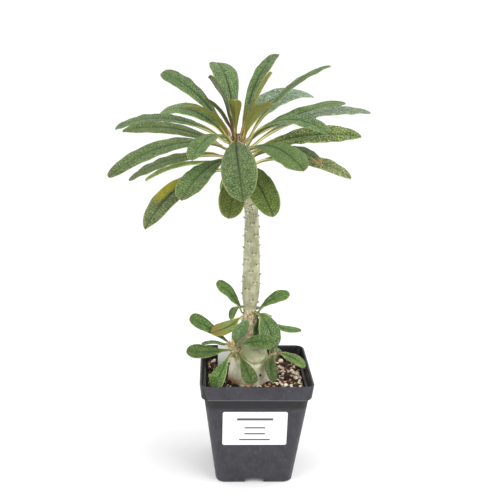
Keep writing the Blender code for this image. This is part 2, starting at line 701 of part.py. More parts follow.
def build_leaf(name, leaf, material):
    points, directions = leaf_midrib(leaf)
    rings = []
    for share in leaf_stations():
        place = share * (len(points) - 1)
        near = int(place)
        point = points[near] + (points[near + 1] - points[near]) * (place - near)
        forward = directions[near]
        azimuth = radians(leaf.azimuth + leaf.sweep * share)
        level = np.array((-sin(azimuth), cos(azimuth), 0))
        side = unit(level - forward * level.dot(forward))
        upper = np.cross(forward, side)
        roll = radians(leaf.roll) * ease(0.0, ROLL_SHARE, share)
        side, upper = side * cos(roll) + upper * sin(roll), upper * cos(roll) - side * sin(roll)
        rings.append([point + side * across + upper * up for across, up in leaf_section(leaf, share)])
    made = loft(name, rings, material, tip=points[-1])
    triangulate_alike(made)
    made.data.shade_smooth()
    return made


def triangulate_alike(made):
    """Splits the four-sided faces on the same diagonals above and below."""
    work = bmesh.new()
    work.from_mesh(made.data)
    bmesh.ops.triangulate(work, faces=work.faces, quad_method="FIXED")
    work.to_mesh(made.data)
    work.free()


def build_leaves():
    green = make_material("leaf green", (0.10, 0.19, 0.06), 0.55)
    made = []
    for group, leaves in (("crown_leaf", CROWN_LEAVES), ("lower_leaf", LOWER_LEAVES)):
        for number, leaf in enumerate(leaves, start=1):
            made.append(build_leaf(f"{group}_{number:02d}", leaf, green))
    return made


def main():
    clear_scene()
    plant = bpy.data.objects.new("potted_dorstenia", None)
    bpy.context.collection.objects.link(plant)
    pieces = [build_pot(), build_label(), build_soil(), build_tag(), build_trunk(), *build_leaves()]
    for piece in pieces:
        piece.parent = plant


main()
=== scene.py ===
"""The looks of a potted dorstenia: leaves, bark, grit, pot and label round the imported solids, in a studio.

Metres, +Z up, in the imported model's own frame: the origin is the centre of the pot's underside, and the
labelled side of the pot faces -Y. Angles are in degrees. An azimuth of 0 points to +X, and 270 points to -Y,
out of the labelled side. Colours are linear.
"""

from math import cos, pi, radians, sin
from typing import NamedTuple

import bmesh
import bpy
import numpy as np
from mathutils import Matrix, Vector


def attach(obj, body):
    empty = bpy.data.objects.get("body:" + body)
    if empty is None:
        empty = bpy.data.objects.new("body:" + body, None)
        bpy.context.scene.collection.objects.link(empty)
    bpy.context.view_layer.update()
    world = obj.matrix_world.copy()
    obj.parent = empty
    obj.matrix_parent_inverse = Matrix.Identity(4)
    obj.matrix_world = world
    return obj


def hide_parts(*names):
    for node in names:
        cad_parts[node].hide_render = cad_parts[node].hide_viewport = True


# Camera, as the photograph was taken
CAMERA_PLACE = (-0.0367, -0.6019, 0.3405)
CAMERA_YAW = 2.92
CAMERA_PITCH = 14.57
CAMERA_ROLL = 1.31
CAMERA_LENS = 57.6
CAMERA_SENSOR = 36
CAMERA_NEAR = 0.01

# Studio: the white sweep, the surround's strength, and each light's place, target, size and power
SWEEP_SIDE = 3.0
SWEEP_FRONT = -2.0
SWEEP_BACK = 1.6
SWEEP_HEIGHT = 2.4
SWEEP_BEND = 0.5
SWEEP_STEPS = 16
SURROUND = 0.93
LIGHTS = {
    "key": ((0.75, -0.35, 0.85), (0.0, 0.0, 0.16), 1.3, 9.8),
    "fill": ((-0.8, -0.45, 0.5), (0.0, 0.0, 0.12), 1.0, 5.3),
}

# The clearance between solids, the pot's sides, a rectangle's corners, and the angle of a sharp edge
GAP = 0.0003
QUARTERS = (0, 90, 180, 270)
CORNERS = ((1, 1), (-1, 1), (-1, -1), (1, -1))
SHARP_ANGLE = 35
RIPPLE_WAVES = 7

# Pot
POT_HEIGHT = 0.088
RIM_WIDTH = 0.088
COLLAR_HEIGHT = 0.012
COLLAR_FOOT = POT_HEIGHT - COLLAR_HEIGHT
COLLAR_FOOT_WIDTH = 0.0855
BODY_TOP_WIDTH = 0.0814
BASE_WIDTH = 0.061
WALL = 0.0014
RIM_WALL = 0.0016
FLOOR = 0.0018
RIM_CORNER = 0.0075
BODY_CORNER = 0.008
EDGE_ROUND = 0.0007
FOOT_ROUND = 0.0014
CORNER_STEPS = 12
ROUND_STEPS = 4
NOTCH_WIDTH = 0.013
NOTCH_FLARE = 0.0018
NOTCH_DEPTH = 0.0085
NOTCH_HEIGHT = 0.005
SLOT_WIDTH = 0.0018
SLOT_PITCH = 0.0036
LUG_WIDTH = 0.007
LUG_HEIGHT = 0.0014
LUG_DEPTH = 0.0012

# Label on the front of the pot, and its ruled lines: height above its middle, length and half the thickness
LABEL_WIDTH = 0.05
LABEL_HEIGHT = 0.03
LABEL_THICKNESS = 0.0004
LABEL_CORNER = 0.0015
LABEL_MIDDLE = (-0.001, 0.0508)
LINE_THICKNESS = 0.00004
LABEL_LINES = (
    (0.0086, 0.028, 0.001), (0.0009, 0.016, 0.0006), (-0.0046, 0.016, 0.0006), (-0.01, 0.024, 0.0006),
)

# White tag that stands in the soil behind the trunk
TAG_WIDTH = 0.0165
TAG_THICKNESS = 0.0009
TAG_LENGTH = 0.06
TAG_CORNER = 0.0016
TAG_TOP = (-0.0213, 0.03, 0.0945)
TAG_TURN = 3
TAG_LEAN = 6
TAG_CLEAR = 0.002
TAG_SECTIONS = ((-1, 0.97), (-0.7, 1), (0.7, 1), (1, 0.97))

# Soil: a dark bed that stays clear of the pot's notches
SOIL_LEVEL = 0.0757
SOIL_FOOT = FLOOR + GAP
SOIL_SHOULDER = SOIL_LEVEL - 0.004
SOIL_LEDGE = NOTCH_HEIGHT + WALL + GAP
SOIL_RINGS = 56
SOIL_TURNS = 180
SOIL_ROUGH = 0.0006
SQUARENESS = 9

# Loose grit. The pale kinds lie mostly at the right and front, and a few of them elsewhere, which leaves
# the left and back darker: partly how the grit lies, partly painted shade
GRIT_SPREAD = 0.0388
GRIT_CLEAR = 0.0006
GRIT_LIFT = 0.0012
GRIT_LUMPS = 0.28
PALE_LEAST = 0.12
PALE_FADE = 0.03
SEED = 22

# Trunk: heights, then the middle of the trunk in X and Y, then its radius
TRUNK_AXIS = (
    (0.05, -0.0048, 0.001), (0.1, -0.0042, 0.0005), (0.132, -0.005, 0), (0.155, -0.0046, 0),
    (0.19, -0.0048, 0), (0.214, -0.0057, 0), (0.231, -0.0088, 0), (0.246, -0.013, 0),
    (0.26, -0.0163, 0), (0.275, -0.0184, 0),
)
TRUNK_RADIUS = (
    (0.05, 0.012), (0.06, 0.0165), (0.07, 0.0185), (0.079, 0.018), (0.088, 0.016), (0.096, 0.0138),
    (0.104, 0.0122), (0.112, 0.01), (0.119, 0.0077), (0.125, 0.006), (0.1305, 0.0047), (0.1345, 0.0044),
    (0.14, 0.0057), (0.147, 0.0067), (0.156, 0.0069), (0.175, 0.0065), (0.195, 0.0058), (0.215, 0.0053),
    (0.235, 0.0053), (0.248, 0.0059), (0.26, 0.0062), (0.2665, 0.0057), (0.271, 0.0046), (0.2735, 0.0028),
)
TRUNK_TIP = 0.2745
TRUNK_TURNS = 150
RING_STEP = 0.00055
NORMAL_STEP = 0.0004

# Ridges of the swollen foot: depth, the heights they fade between, and each wave's count, phase and share
LOBE_DEPTH = 0.07
LOBE_HEIGHTS = (0.092, 0.126)
LOBE_WAVES = ((3, 35, 0.6), (5, -60, 0.4))

# Folds across the front of the swollen foot: the heights and azimuths along each, and a full lip above it
CREASES = (
    ((0.099, 236), (0.097, 252), (0.095, 262), (0.0935, 278), (0.093, 294), (0.0935, 314), (0.095, 336)),
    ((0.106, 272), (0.106, 290), (0.1045, 315), (0.103, 335)),
)
CREASE_WIDTH = 0.0011
CREASE_DEPTH = 0.0009
CREASE_FADE = 14
LIP_RISE = 0.003
LIP_WIDTH = 0.0022
LIP_SHARE = 0.8

# One round dark mark low on the front: its height, azimuth and radius
MARK = (0.085, 298, 0.0011)

# Bark relief: lumps and upright wrinkles, and the shares of them that the stem keeps
LUMP_DEPTH = 0.0005
LUMP_SIZE = 0.013
STEM_LUMPS = 0.3
WRINKLE_DEPTH = 0.0001
WRINKLE_COUNTS = (19, 33, 47)
WRINKLE_LEAN = 6
STEM_WRINKLES = 0.35
SMOOTH_TOP = 0.006

# Leaf scars up the stem, each with a pair of hard pointed stipules
SCARS = 60
SCAR_START = 0.141
SCAR_END = 0.247
SCAR_TURN = 137.5
SCAR_RISE = 0.0003
SCAR_PIT = 0.0003
SCAR_HEIGHT = 0.0012
SCAR_WIDTH = 0.0017
SCAR_STAIN = 0.75
STIPULE_SUNK = 0.00052
STIPULE_SPREAD = 0.0013

# Papery scales round the neck and down the front below it
NECK_SCALES = 110
NECK_HEIGHTS = (0.1225, 0.1335)
FRONT_SCALES = 40
FRONT_HEIGHTS = (0.1165, 0.125)
FRONT_AZIMUTHS = (262, 292)
SCALE_SUNK = 0.0006

# Stiff stipules that stand among the leaf stalks at the crown
CROWN_STIPULES = 90
CROWN_HEIGHTS = (0.254, 0.2735)
CROWN_SUNK = 0.0005

# Form of every stipule and scale: shares of its length with a ring, corners of a ring, and how far it bends
THORN_RINGS = (0, 0.35, 0.7)
THORN_CORNERS = 6
THORN_BEND = 0.25

# Side shoots: root, head and radius of each short stub, its stipules, and how far its bud reaches
SHOOTS = {
    "left shoot": ((-0.0105, -0.005, 0.095), (-0.0158, -0.009, 0.103), 0.0038),
    "right shoot": ((0.006, 0.001, 0.088), (0.0145, 0.0015, 0.0945), 0.0032),
}
SHOOT_STIPULES = {"left shoot": 140, "right shoot": 45}
SHOOT_BUDS = {"left shoot": 2.0, "right shoot": 1.45}
STUB_FLARE = 1.15
STUB_ROUND = (0.6, 0.8)
STUB_RINGS = 26
STUB_TURNS = 32
STUB_ROUGH = 0.0004

# Leaf stalks, which leave the skin straight and then turn, over this length or this share of a short leaf
PETIOLE_LEAST = 0.0007
PETIOLE_GROWTH = 0.115
PETIOLE_DEPTH = 0.8
PETIOLE_SHARE = 0.12
PETIOLE_TOP = 0.38
TURN_LENGTH = 0.007
TURN_SHARE = 0.11
SHOOT_LEAN = 0.4
SUNK = 0.0009
FOOT_SPREAD = 1.7
NECK_SPREAD = 1.25

# Leaf blades. The rings crowd towards the tip and the columns towards the midrib
MIDRIB_STEPS = 60
LEAF_STEP = 0.00052
COLUMN_STEP = 0.00058
LAST_RING = 0.993
TIP_CROWDING = 1.35
RIB_CROWDING = 1.15
NARROW_COLUMNS = 24
BLADE_SPREAD = 0.25
ROLL_SHARE = 0.45
FOLD = 0.26
CHANNEL = 0.75
CURL = 0.16
TAPER = 1.2
BLUNT = 0.5
THICKNESS = 0.00062
RIB_KEEL = 0.00085
RIB_GROOVE = 0.00055
RIB_WIDTH = 0.00055
WAVE_LENGTH = 0.013
WAVE_SHARE = 0.06
EDGE_UNEVEN = 0.011
EDGE_DROP = 0.05

# Raised cells between the veins of a blade, which are smaller on a narrow leaf
PUCKER = 0.00042
CELL_WIDTH = 0.0018
CELL_LENGTH = 0.0021
CELL_LEAST = 0.72
CELL_GROWTH = (0.01, 0.02)
CELL_JITTER = 0.42
CELL_RIM = 0.7
CELL_LOW = 0.55
VEIN_SLOPE = 0.55
VEIN_WIDTH = 0.3


class Leaf(NamedTuple):
    """One leaf. Its seat is a height on the stem or the name of a side shoot.

    rise and droop are the elevations of its midrib at the base and at the tip. roll turns the blade about
    the midrib, sweep bends the midrib sideways, and fold lifts the margins. A larger taper makes the blade
    narrower towards its base, and a larger blunt makes it narrower towards its tip.
    """

    seat: float | str
    azimuth: float
    rise: float
    droop: float
    length: float
    width: float
    roll: float = 0
    sweep: float = 0
    fold: float = FOLD
    taper: float = TAPER
    blunt: float = BLUNT


CROWN_LEAVES = (
    Leaf(0.268, 130, 56, 17, 0.087, 0.016, -28, 22, fold=0.2, taper=1.4, blunt=0.3),
    Leaf(0.269, 101, 85, 15, 0.08, 0.022, 5, 9, fold=0.32, taper=1.7),
    Leaf(0.2705, 248, 84, 26, 0.061, 0.0105, -62, -17, fold=0.2),
    Leaf(0.2725, 234, 66, 24, 0.043, 0.006, -8, -16),
    Leaf(0.2735, 265, 80, 32, 0.035, 0.009, -8, fold=0.3, taper=1.5, blunt=0.3),
    Leaf(0.2735, 330, 80, 78, 0.024, 0.0055),
    Leaf(0.2695, 59, 85, 27, 0.081, 0.0135, 0, -12, fold=0.32, taper=1.1, blunt=0.35),
    Leaf(0.272, 305, 70, 42, 0.06, 0.009, 60, fold=0.35),
    Leaf(0.268, 19, 66, 17, 0.091, 0.016, 0, -4, fold=0.23, blunt=0.35),
    Leaf(0.267, 60, 61, -17, 0.095, 0.022, 20, -34, taper=0.7, blunt=0.55),
    Leaf(0.269, 307, 80, 7, 0.049, 0.0135, -8, fold=0.34),
    Leaf(0.266, 34, 30, 6, 0.097, 0.019, 13, -15, taper=0.7, blunt=0.4),
    Leaf(0.262, 12, 44, -10, 0.104, 0.019, 13, -7, fold=0.2, taper=1.3),
    Leaf(0.264, 311, 60, -31, 0.084, 0.0155, 21, 14, taper=1.1),
    Leaf(0.259, 323, 31, -5, 0.096, 0.0185, 38, 6, taper=0.9, blunt=0.65),
    Leaf(0.259, 292, 34, -32, 0.088, 0.02, 18, 10, fold=0.15, taper=1.4),
    Leaf(0.254, 307, 39, -25, 0.084, 0.0175, fold=0.3, taper=1.1, blunt=0.65),
    Leaf(0.25, 316, 30, -27, 0.093, 0.0175, 14, 8, fold=0.2, taper=1.1, blunt=0.6),
    Leaf(0.2665, 265, 14, -44, 0.101, 0.0245, 15, 13, fold=0.3, taper=1.4, blunt=0.6),
    Leaf(0.249, 272, 19, -43, 0.092, 0.0205, 15, 21, fold=0.3, taper=1.1),
    Leaf(0.247, 266, 19, -42, 0.091, 0.0185, -14, -8, taper=1.1, blunt=0.4),
    Leaf(0.255, 245, 17, -38, 0.088, 0.02, -6, -5, fold=0.3, taper=1.5),
    Leaf(0.248, 221, 10, -46, 0.102, 0.018, -15, 14, fold=0.3, taper=1.3, blunt=0.7),
    Leaf(0.2665, 243, 42, -47, 0.069, 0.0165, 0, -3, taper=1.4),
    Leaf(0.262, 229, 27, -37, 0.113, 0.016, -22, -23, taper=0.7, blunt=0.4),
    Leaf(0.256, 155, 7, -37, 0.092, 0.0185, -24, 9, fold=0.2, taper=0.9),
    Leaf(0.251, 209, 22, -32, 0.073, 0.0125, 0, -11, taper=0.9),
    Leaf(0.266, 151, 36, -27, 0.101, 0.0185, -18, 17, taper=1.1, blunt=0.35),
    Leaf(0.2625, 201, 38, -14, 0.085, 0.0155, -28, -7, fold=0.2, taper=0.7, blunt=0.6),
    Leaf(0.265, 131, 52, -25, 0.089, 0.02, -24, 9, taper=1.3),
    Leaf(0.268, 233, 69, -3, 0.061, 0.0095, 0, -16, taper=0.9, blunt=0.55),
    Leaf(0.254, 92, 6, -26, 0.086, 0.019),
    Leaf(0.247, 78, 0, -50, 0.084, 0.019),
    Leaf(0.247, 97, -6, -50, 0.08, 0.0175),
)
LOWER_LEAVES = (
    Leaf(0.1325, 199, 77, 30, 0.036, 0.0105, -50, -17, fold=0.2, taper=1.0, blunt=0.4),
    Leaf(0.1325, 348, 69, 3, 0.033, 0.012, 36, 3),
    Leaf(0.133, 122, 25, -98, 0.031, 0.0085, taper=1.0, blunt=0.65),
    Leaf(0.1295, 43, -32, -2, 0.021, 0.0065, taper=1.3),
    Leaf(0.13, 316, -55, -96, 0.0235, 0.013, 12, fold=0.1, taper=0.8, blunt=0.7),
    Leaf(0.133, 320, -14, -103, 0.0365, 0.0215, 10, fold=0.2, taper=0.8, blunt=0.65),
    Leaf(0.129, 3, -48, 5, 0.04, 0.0095, 14, fold=0.35),
    Leaf("left shoot", 168, 45, 24, 0.042, 0.013, -34, 8, fold=0.3, taper=1.5, blunt=0.4),
    Leaf(0.129, 209, -32, -7, 0.03, 0.0155, -17, -10, taper=0.95, blunt=0.55),
    Leaf("left shoot", 299, 74, 56, 0.0295, 0.0135, -12, 16, taper=0.7, blunt=0.6),
    Leaf("left shoot", 201, 2, 5, 0.0365, 0.014, -32, -17, fold=0.35, taper=1.3),
    Leaf("left shoot", 142, 20, -33, 0.029, 0.008, 36, 14, taper=1.1),
    Leaf("left shoot", 231, -31, -70, 0.032, 0.016, 0, -8, fold=0.4, taper=1.5, blunt=0.45),
    Leaf("left shoot", 303, -26, -49, 0.029, 0.014, 0, -7, taper=1.35),
    Leaf("left shoot", 322, 42, -6, 0.037, 0.011, 62, 9),
    Leaf("right shoot", 330, 18, -46, 0.027, 0.012, 12, 5, taper=0.8, blunt=0.55),
    Leaf("right shoot", 245, -4, -51, 0.027, 0.012, -22, 50, taper=0.8, blunt=0.55),
    Leaf("right shoot", 68, 3, -25, 0.015, 0.01, 30, -11, taper=1.0),
    Leaf(0.133, 80, 0, -36, 0.03, 0.012),
    Leaf(0.1285, 92, -30, -80, 0.024, 0.009),
)


class Look(NamedTuple):
    """The colours of a leaf: its raised cells, its sunken veins, the pale flecks on the cells, and the rest.

    The dark colours of the veins and the midrib are partly painted shade in their hollows, and the pale
    flecks are painted highlights on the cells.

    lip is the margin's colour along the stalk. tip_start is the share of the length where the tip's colour
    begins, flank_side the side of the midrib with the flank's colour, and flecks and blotches are strengths.
    """

    cell: tuple = (0.072, 0.154, 0.02)
    vein: tuple = (0.012, 0.032, 0.005)
    fleck: tuple = (0.33, 0.42, 0.25)
    rib: tuple = (0.016, 0.034, 0.009)
    margin: tuple = (0.28, 0.34, 0.12)
    stalk: tuple = (0.125, 0.112, 0.022)
    lip: tuple = (0.52, 0.5, 0.19)
    under: tuple = (0.16, 0.255, 0.06)
    tip: tuple = (0.11, 0.13, 0.045)
    tip_start: float = 0.97
    flank: tuple = (0.28, 0.26, 0.012)
    flank_side: float = 0
    flecks: float = 0.6
    blotch: tuple = (0.13, 0.09, 0.03)
    blotches: float = 0


LOOKS = {
    "sage": Look(),
    "even": Look(cell=(0.074, 0.16, 0.022), fleck=(0.29, 0.38, 0.22), flecks=0.42),
    "smooth": Look(
        cell=(0.072, 0.16, 0.018), vein=(0.03, 0.072, 0.009), fleck=(0.24, 0.34, 0.15), flecks=0.4,
    ),
    # painted sheen: this look's paler, silvery colours stand in for the sheen of leaves seen at a grazing
    # angle
    "silvery_sheen": Look(
        cell=(0.095, 0.15, 0.072), fleck=(0.46, 0.53, 0.4), under=(0.19, 0.25, 0.14), flecks=0.75,
    ),
    "olive": Look(cell=(0.08, 0.125, 0.016), vein=(0.022, 0.04, 0.005), fleck=(0.29, 0.36, 0.12)),
    "bold": Look(
        cell=(0.053, 0.108, 0.009), vein=(0.008, 0.022, 0.002), fleck=(0.43, 0.52, 0.23), flecks=0.85,
    ),
    "hanging": Look(
        cell=(0.068, 0.116, 0.011), under=(0.12, 0.18, 0.026), fleck=(0.24, 0.31, 0.07),
        blotches=0.12, flecks=0.5,
    ),
    "young": Look(
        cell=(0.088, 0.08, 0.038), vein=(0.04, 0.028, 0.016), fleck=(0.27, 0.28, 0.17),
        margin=(0.15, 0.055, 0.03), stalk=(0.15, 0.08, 0.035), lip=(0.33, 0.18, 0.08),
        tip=(0.08, 0.035, 0.03),
    ),
    "golden": Look(
        cell=(0.118, 0.104, 0.018), vein=(0.05, 0.04, 0.008), fleck=(0.23, 0.24, 0.08),
        margin=(0.23, 0.12, 0.025), stalk=(0.18, 0.13, 0.03), lip=(0.36, 0.29, 0.09),
        tip=(0.13, 0.08, 0.04),
    ),
    "topmost": Look(
        cell=(0.12, 0.125, 0.018), margin=(0.23, 0.11, 0.025), rib=(0.29, 0.19, 0.08),
        stalk=(0.2, 0.16, 0.05), tip=(0.23, 0.11, 0.03), tip_start=0.66,
    ),
    "spotted": Look(
        cell=(0.072, 0.12, 0.015), fleck=(0.64, 0.62, 0.33), tip=(0.15, 0.13, 0.05), tip_start=0.94,
        flecks=0.9, blotch=(0.12, 0.1, 0.03), blotches=0.35,
    ),
    "scorched": Look(
        cell=(0.034, 0.08, 0.012), under=(0.08, 0.14, 0.03), fleck=(0.2, 0.32, 0.1),
        tip=(0.38, 0.21, 0.05), tip_start=0.92,
    ),
    "yellowing": Look(cell=(0.07, 0.1, 0.024), flank_side=-1, blotches=0.4),
    "browned": Look(blotches=0.22, fleck=(0.3, 0.36, 0.2)),
    "fresh": Look(
        cell=(0.064, 0.154, 0.015), vein=(0.01, 0.032, 0.004), fleck=(0.33, 0.47, 0.2),
        margin=(0.36, 0.48, 0.25), lip=(0.24, 0.3, 0.11), rib=(0.03, 0.074, 0.016),
        stalk=(0.11, 0.14, 0.032), under=(0.135, 0.245, 0.045),
    ),
    "old": Look(
        cell=(0.205, 0.215, 0.04), vein=(0.11, 0.11, 0.018), fleck=(0.32, 0.34, 0.13),
        margin=(0.26, 0.17, 0.035), tip=(0.17, 0.115, 0.017), tip_start=0.5, flecks=0.5,
    ),
    "pale_veined": Look(under=(0.04, 0.105, 0.036), margin=(0.26, 0.37, 0.18), rib=(0.2, 0.29, 0.16)),
}
# For each leaf its look, how light it is, and its warmth, which moves it from blue towards red. The
# lightness is partly each leaf's own tone and partly painted light and shade: lighter and darker copies of
# one look
CROWN_LOOKS = (
    ("sage", 1.06, 0), ("sage", 1.16, 0.02), ("young", 0.95, -0.05), ("young", 1.05, 0),
    ("topmost", 1.65, 0.1), ("young", 1.1, 0), ("sage", 1.08, 0), ("golden", 1.8, 0.06),
    ("sage", 1.0, 0), ("silvery_sheen", 1.55, -0.03), ("golden", 1.5, 0.03), ("sage", 1.3, 0.03),
    ("silvery_sheen", 1.32, 0), ("sage", 1.12, 0), ("bold", 1.42, 0.08), ("smooth", 0.98, 0.04),
    ("scorched", 0.85, 0.1), ("spotted", 1.35, 0), ("sage", 0.93, 0.06), ("hanging", 1.35, 0.03),
    ("hanging", 1.15, 0.15), ("even", 1.04, 0.06), ("yellowing", 1.18, 0.03), ("even", 1.2, 0.03),
    ("sage", 0.93, 0.07), ("sage", 0.9, 0.12), ("olive", 1.9, 0.05), ("sage", 1.02, 0),
    ("browned", 1.03, 0.04), ("sage", 1.5, 0.03), ("golden", 1.35, 0.1), ("sage", 0.95, 0),
    ("sage", 0.95, 0), ("sage", 0.95, 0),
)
LOWER_LOOKS = (
    ("fresh", 1.16, 0.04), ("fresh", 1.26, 0.05), ("fresh", 1.2, 0), ("fresh", 1.0, 0),
    ("fresh", 0.8, 0.1), ("fresh", 1.0, 0.02), ("fresh", 1.24, 0.03), ("fresh", 1.15, 0.05),
    ("old", 1.45, -0.06), ("pale_veined", 1.2, 0.08), ("fresh", 0.87, 0.1), ("fresh", 0.75, 0),
    ("fresh", 1.45, 0.07), ("fresh", 0.8, 0.14), ("fresh", 0.95, 0.1), ("fresh", 1.3, 0.08),
    ("fresh", 0.68, 0.15), ("fresh", 1.0, 0), ("fresh", 1.0, 0), ("fresh", 1.0, 0),
)


class Grit(NamedTuple):
    """A kind of loose grain: how many, their sizes, their widths as shares of that, and their looks."""

    count: int
    sizes: tuple
    squeeze: tuple
    pale: bool
    material: str
    dark: tuple
    light: tuple
    pores: float


GRIT = {
    "pumice_grains": Grit(
        350, (0.0013, 0.0042), (0.45, 1.5), True,
        "pumice", (0.86, 0.73, 0.54), (0.99, 0.97, 0.9), 0.0007,
    ),
    "clay_grains": Grit(
        250, (0.0014, 0.0036), (0.5, 1.4), True,
        "baked clay", (0.3, 0.105, 0.042), (0.82, 0.5, 0.26), 0.0009,
    ),
    "lava_grains": Grit(
        430, (0.0015, 0.0042), (0.5, 1.4), False,
        "lava", (0.05, 0.014, 0.01), (0.21, 0.075, 0.045), 0.0006,
    ),
    "bark_chips": Grit(
        560, (0.0016, 0.005), (0.3, 1.5), False,
        "bark chip", (0.01, 0.006, 0.005), (0.055, 0.03, 0.018), 0.0008,
    ),
}


class Thorn(NamedTuple):
    """A kind of stipule or papery scale: half its width, its length, how flat it is, and its looks."""

    sizes: tuple
    reaches: tuple
    flat: float
    material: str
    root: tuple
    tip: tuple


THORNS = {
    "stem_stipules": Thorn(
        (0.000416, 0.000624), (0.001575, 0.002625), 1.0,
        "dark horn", (0.05, 0.042, 0.032), (0.02, 0.016, 0.012),
    ),
    "neck_scales": Thorn(
        (0.00105, 0.00195), (0.00294, 0.00504), 0.22, "papery scale", (0.33, 0.22, 0.1), (0.92, 0.8, 0.56),
    ),
    "crown_stipules": Thorn(
        (0.0005, 0.001), (0.004, 0.01), 0.4, "crown stipule", (0.3, 0.13, 0.06), (0.74, 0.62, 0.4),
    ),
    "left_shoot_stipules": Thorn(
        (0.000385, 0.00088), (0.002, 0.0052), 0.6,
        "yellow stipule", (0.42, 0.25, 0.035), (0.93, 0.84, 0.54),
    ),
    "right_shoot_stipules": Thorn(
        (0.000385, 0.00088), (0.002, 0.0052), 0.6, "brown stipule", (0.26, 0.15, 0.06), (0.68, 0.54, 0.33),
    ),
}


def heading(azimuth, elevation):
    """Unit vectors at these two angles, in degrees."""
    azimuth, elevation = np.radians(azimuth), np.radians(elevation)
    flat = np.cos(elevation)
    parts = np.broadcast_arrays(flat * np.cos(azimuth), flat * np.sin(azimuth), np.sin(elevation))
    return np.stack(parts, -1)


def unit(vectors):
    return vectors / np.linalg.norm(vectors, axis=-1, keepdims=True)


def ease(low, high, value):
    """0 below low, 1 above high, and a smooth step between."""
    share = np.clip((value - low) / (high - low), 0, 1)
    return share * share * (3 - 2 * share)


def read_curve(rows, heights):
    """The values at these heights on a smooth curve through the rows, which start with their heights."""
    table = np.array(rows)
    knots, values = table[:, 0], table[:, 1:]
    slopes = np.gradient(values, knots, axis=0)
    place = np.clip(np.searchsorted(knots, heights) - 1, 0, len(knots) - 2)
    span = (knots[place + 1] - knots[place])[..., None]
    t = np.clip((heights - knots[place])[..., None] / span, 0, 1)
    start, end = values[place], values[place + 1]
    bulge = (slopes[place] * (1 - t) - slopes[place + 1] * t) * span * t * (1 - t)
    return start + (end - start) * t * t * (3 - 2 * t) + bulge


def ripple(seed, size, *axes):
    """A smooth irregular value from about -1 to 1 over space, with features of about this size."""
    rng = np.random.default_rng(seed)
    total = 0
    for _ in range(RIPPLE_WAVES):
        direction = rng.normal(size=len(axes))
        direction /= np.linalg.norm(direction) * size * rng.uniform(0.7, 1.5)
        total = total + np.sin(sum(a * d for a, d in zip(axes, direction)) * 2 * pi + rng.uniform(0, 2 * pi))
    return total / (RIPPLE_WAVES / 2)


def loose_mesh(name, points, faces):
    """A bare mesh object in the scene."""
    mesh = bpy.data.meshes.new(name)
    mesh.from_pydata(points, [], faces)
    made = bpy.data.objects.new(name, mesh)
    bpy.context.scene.collection.objects.link(made)
    return made


def dress(piece, material, node=None, shading="smooth"):
    """Makes a mesh a piece of the object, which rides on its one body and may stand for a node.

    shading is smooth, edged, which is smooth but for its sharp edges, or flat.
    """
    piece.data.materials.clear()
    piece.data.materials.append(material)
    if shading != "flat":
        piece.data.shade_smooth()
    if shading == "edged":
        piece.data.set_sharp_from_angle(angle=radians(SHARP_ANGLE))
    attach(piece, "root")
    if node:
        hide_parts(node)


def make_piece(name, points, faces, material, node=None, values=None, shading="smooth"):
    """A new piece of the object. values are numbers for each point, read by the material."""
    piece = loose_mesh(name, points, faces)
    for value_name, numbers in (values or {}).items():
        attribute = piece.data.attributes.new(value_name, "FLOAT", "POINT")
        attribute.data.foreach_set("value", np.ravel(numbers).astype(np.float32))
    dress(piece, material, node, shading)


def tube_faces(rings, sides, tipped=True, start=0):
    """Faces of a tube whose first point has the number start: a flat foot, and a tip point or a flat end.

    Its rings wind anticlockwise seen from its end.
    """
    low = start + np.arange(rings - 1)[:, None] * sides
    side = np.arange(sides)
    after = (side + 1) % sides
    quads = np.stack([low + side, low + after, low + sides + after, low + sides + side], -1)
    faces = quads.reshape(-1, 4).tolist()
    faces.append((start + side[::-1]).tolist())
    last = start + (rings - 1) * sides
    if tipped:
        faces += [[last + k, last + (k + 1) % sides, last + sides] for k in range(sides)]
    else:
        faces.append((last + side).tolist())
    return faces


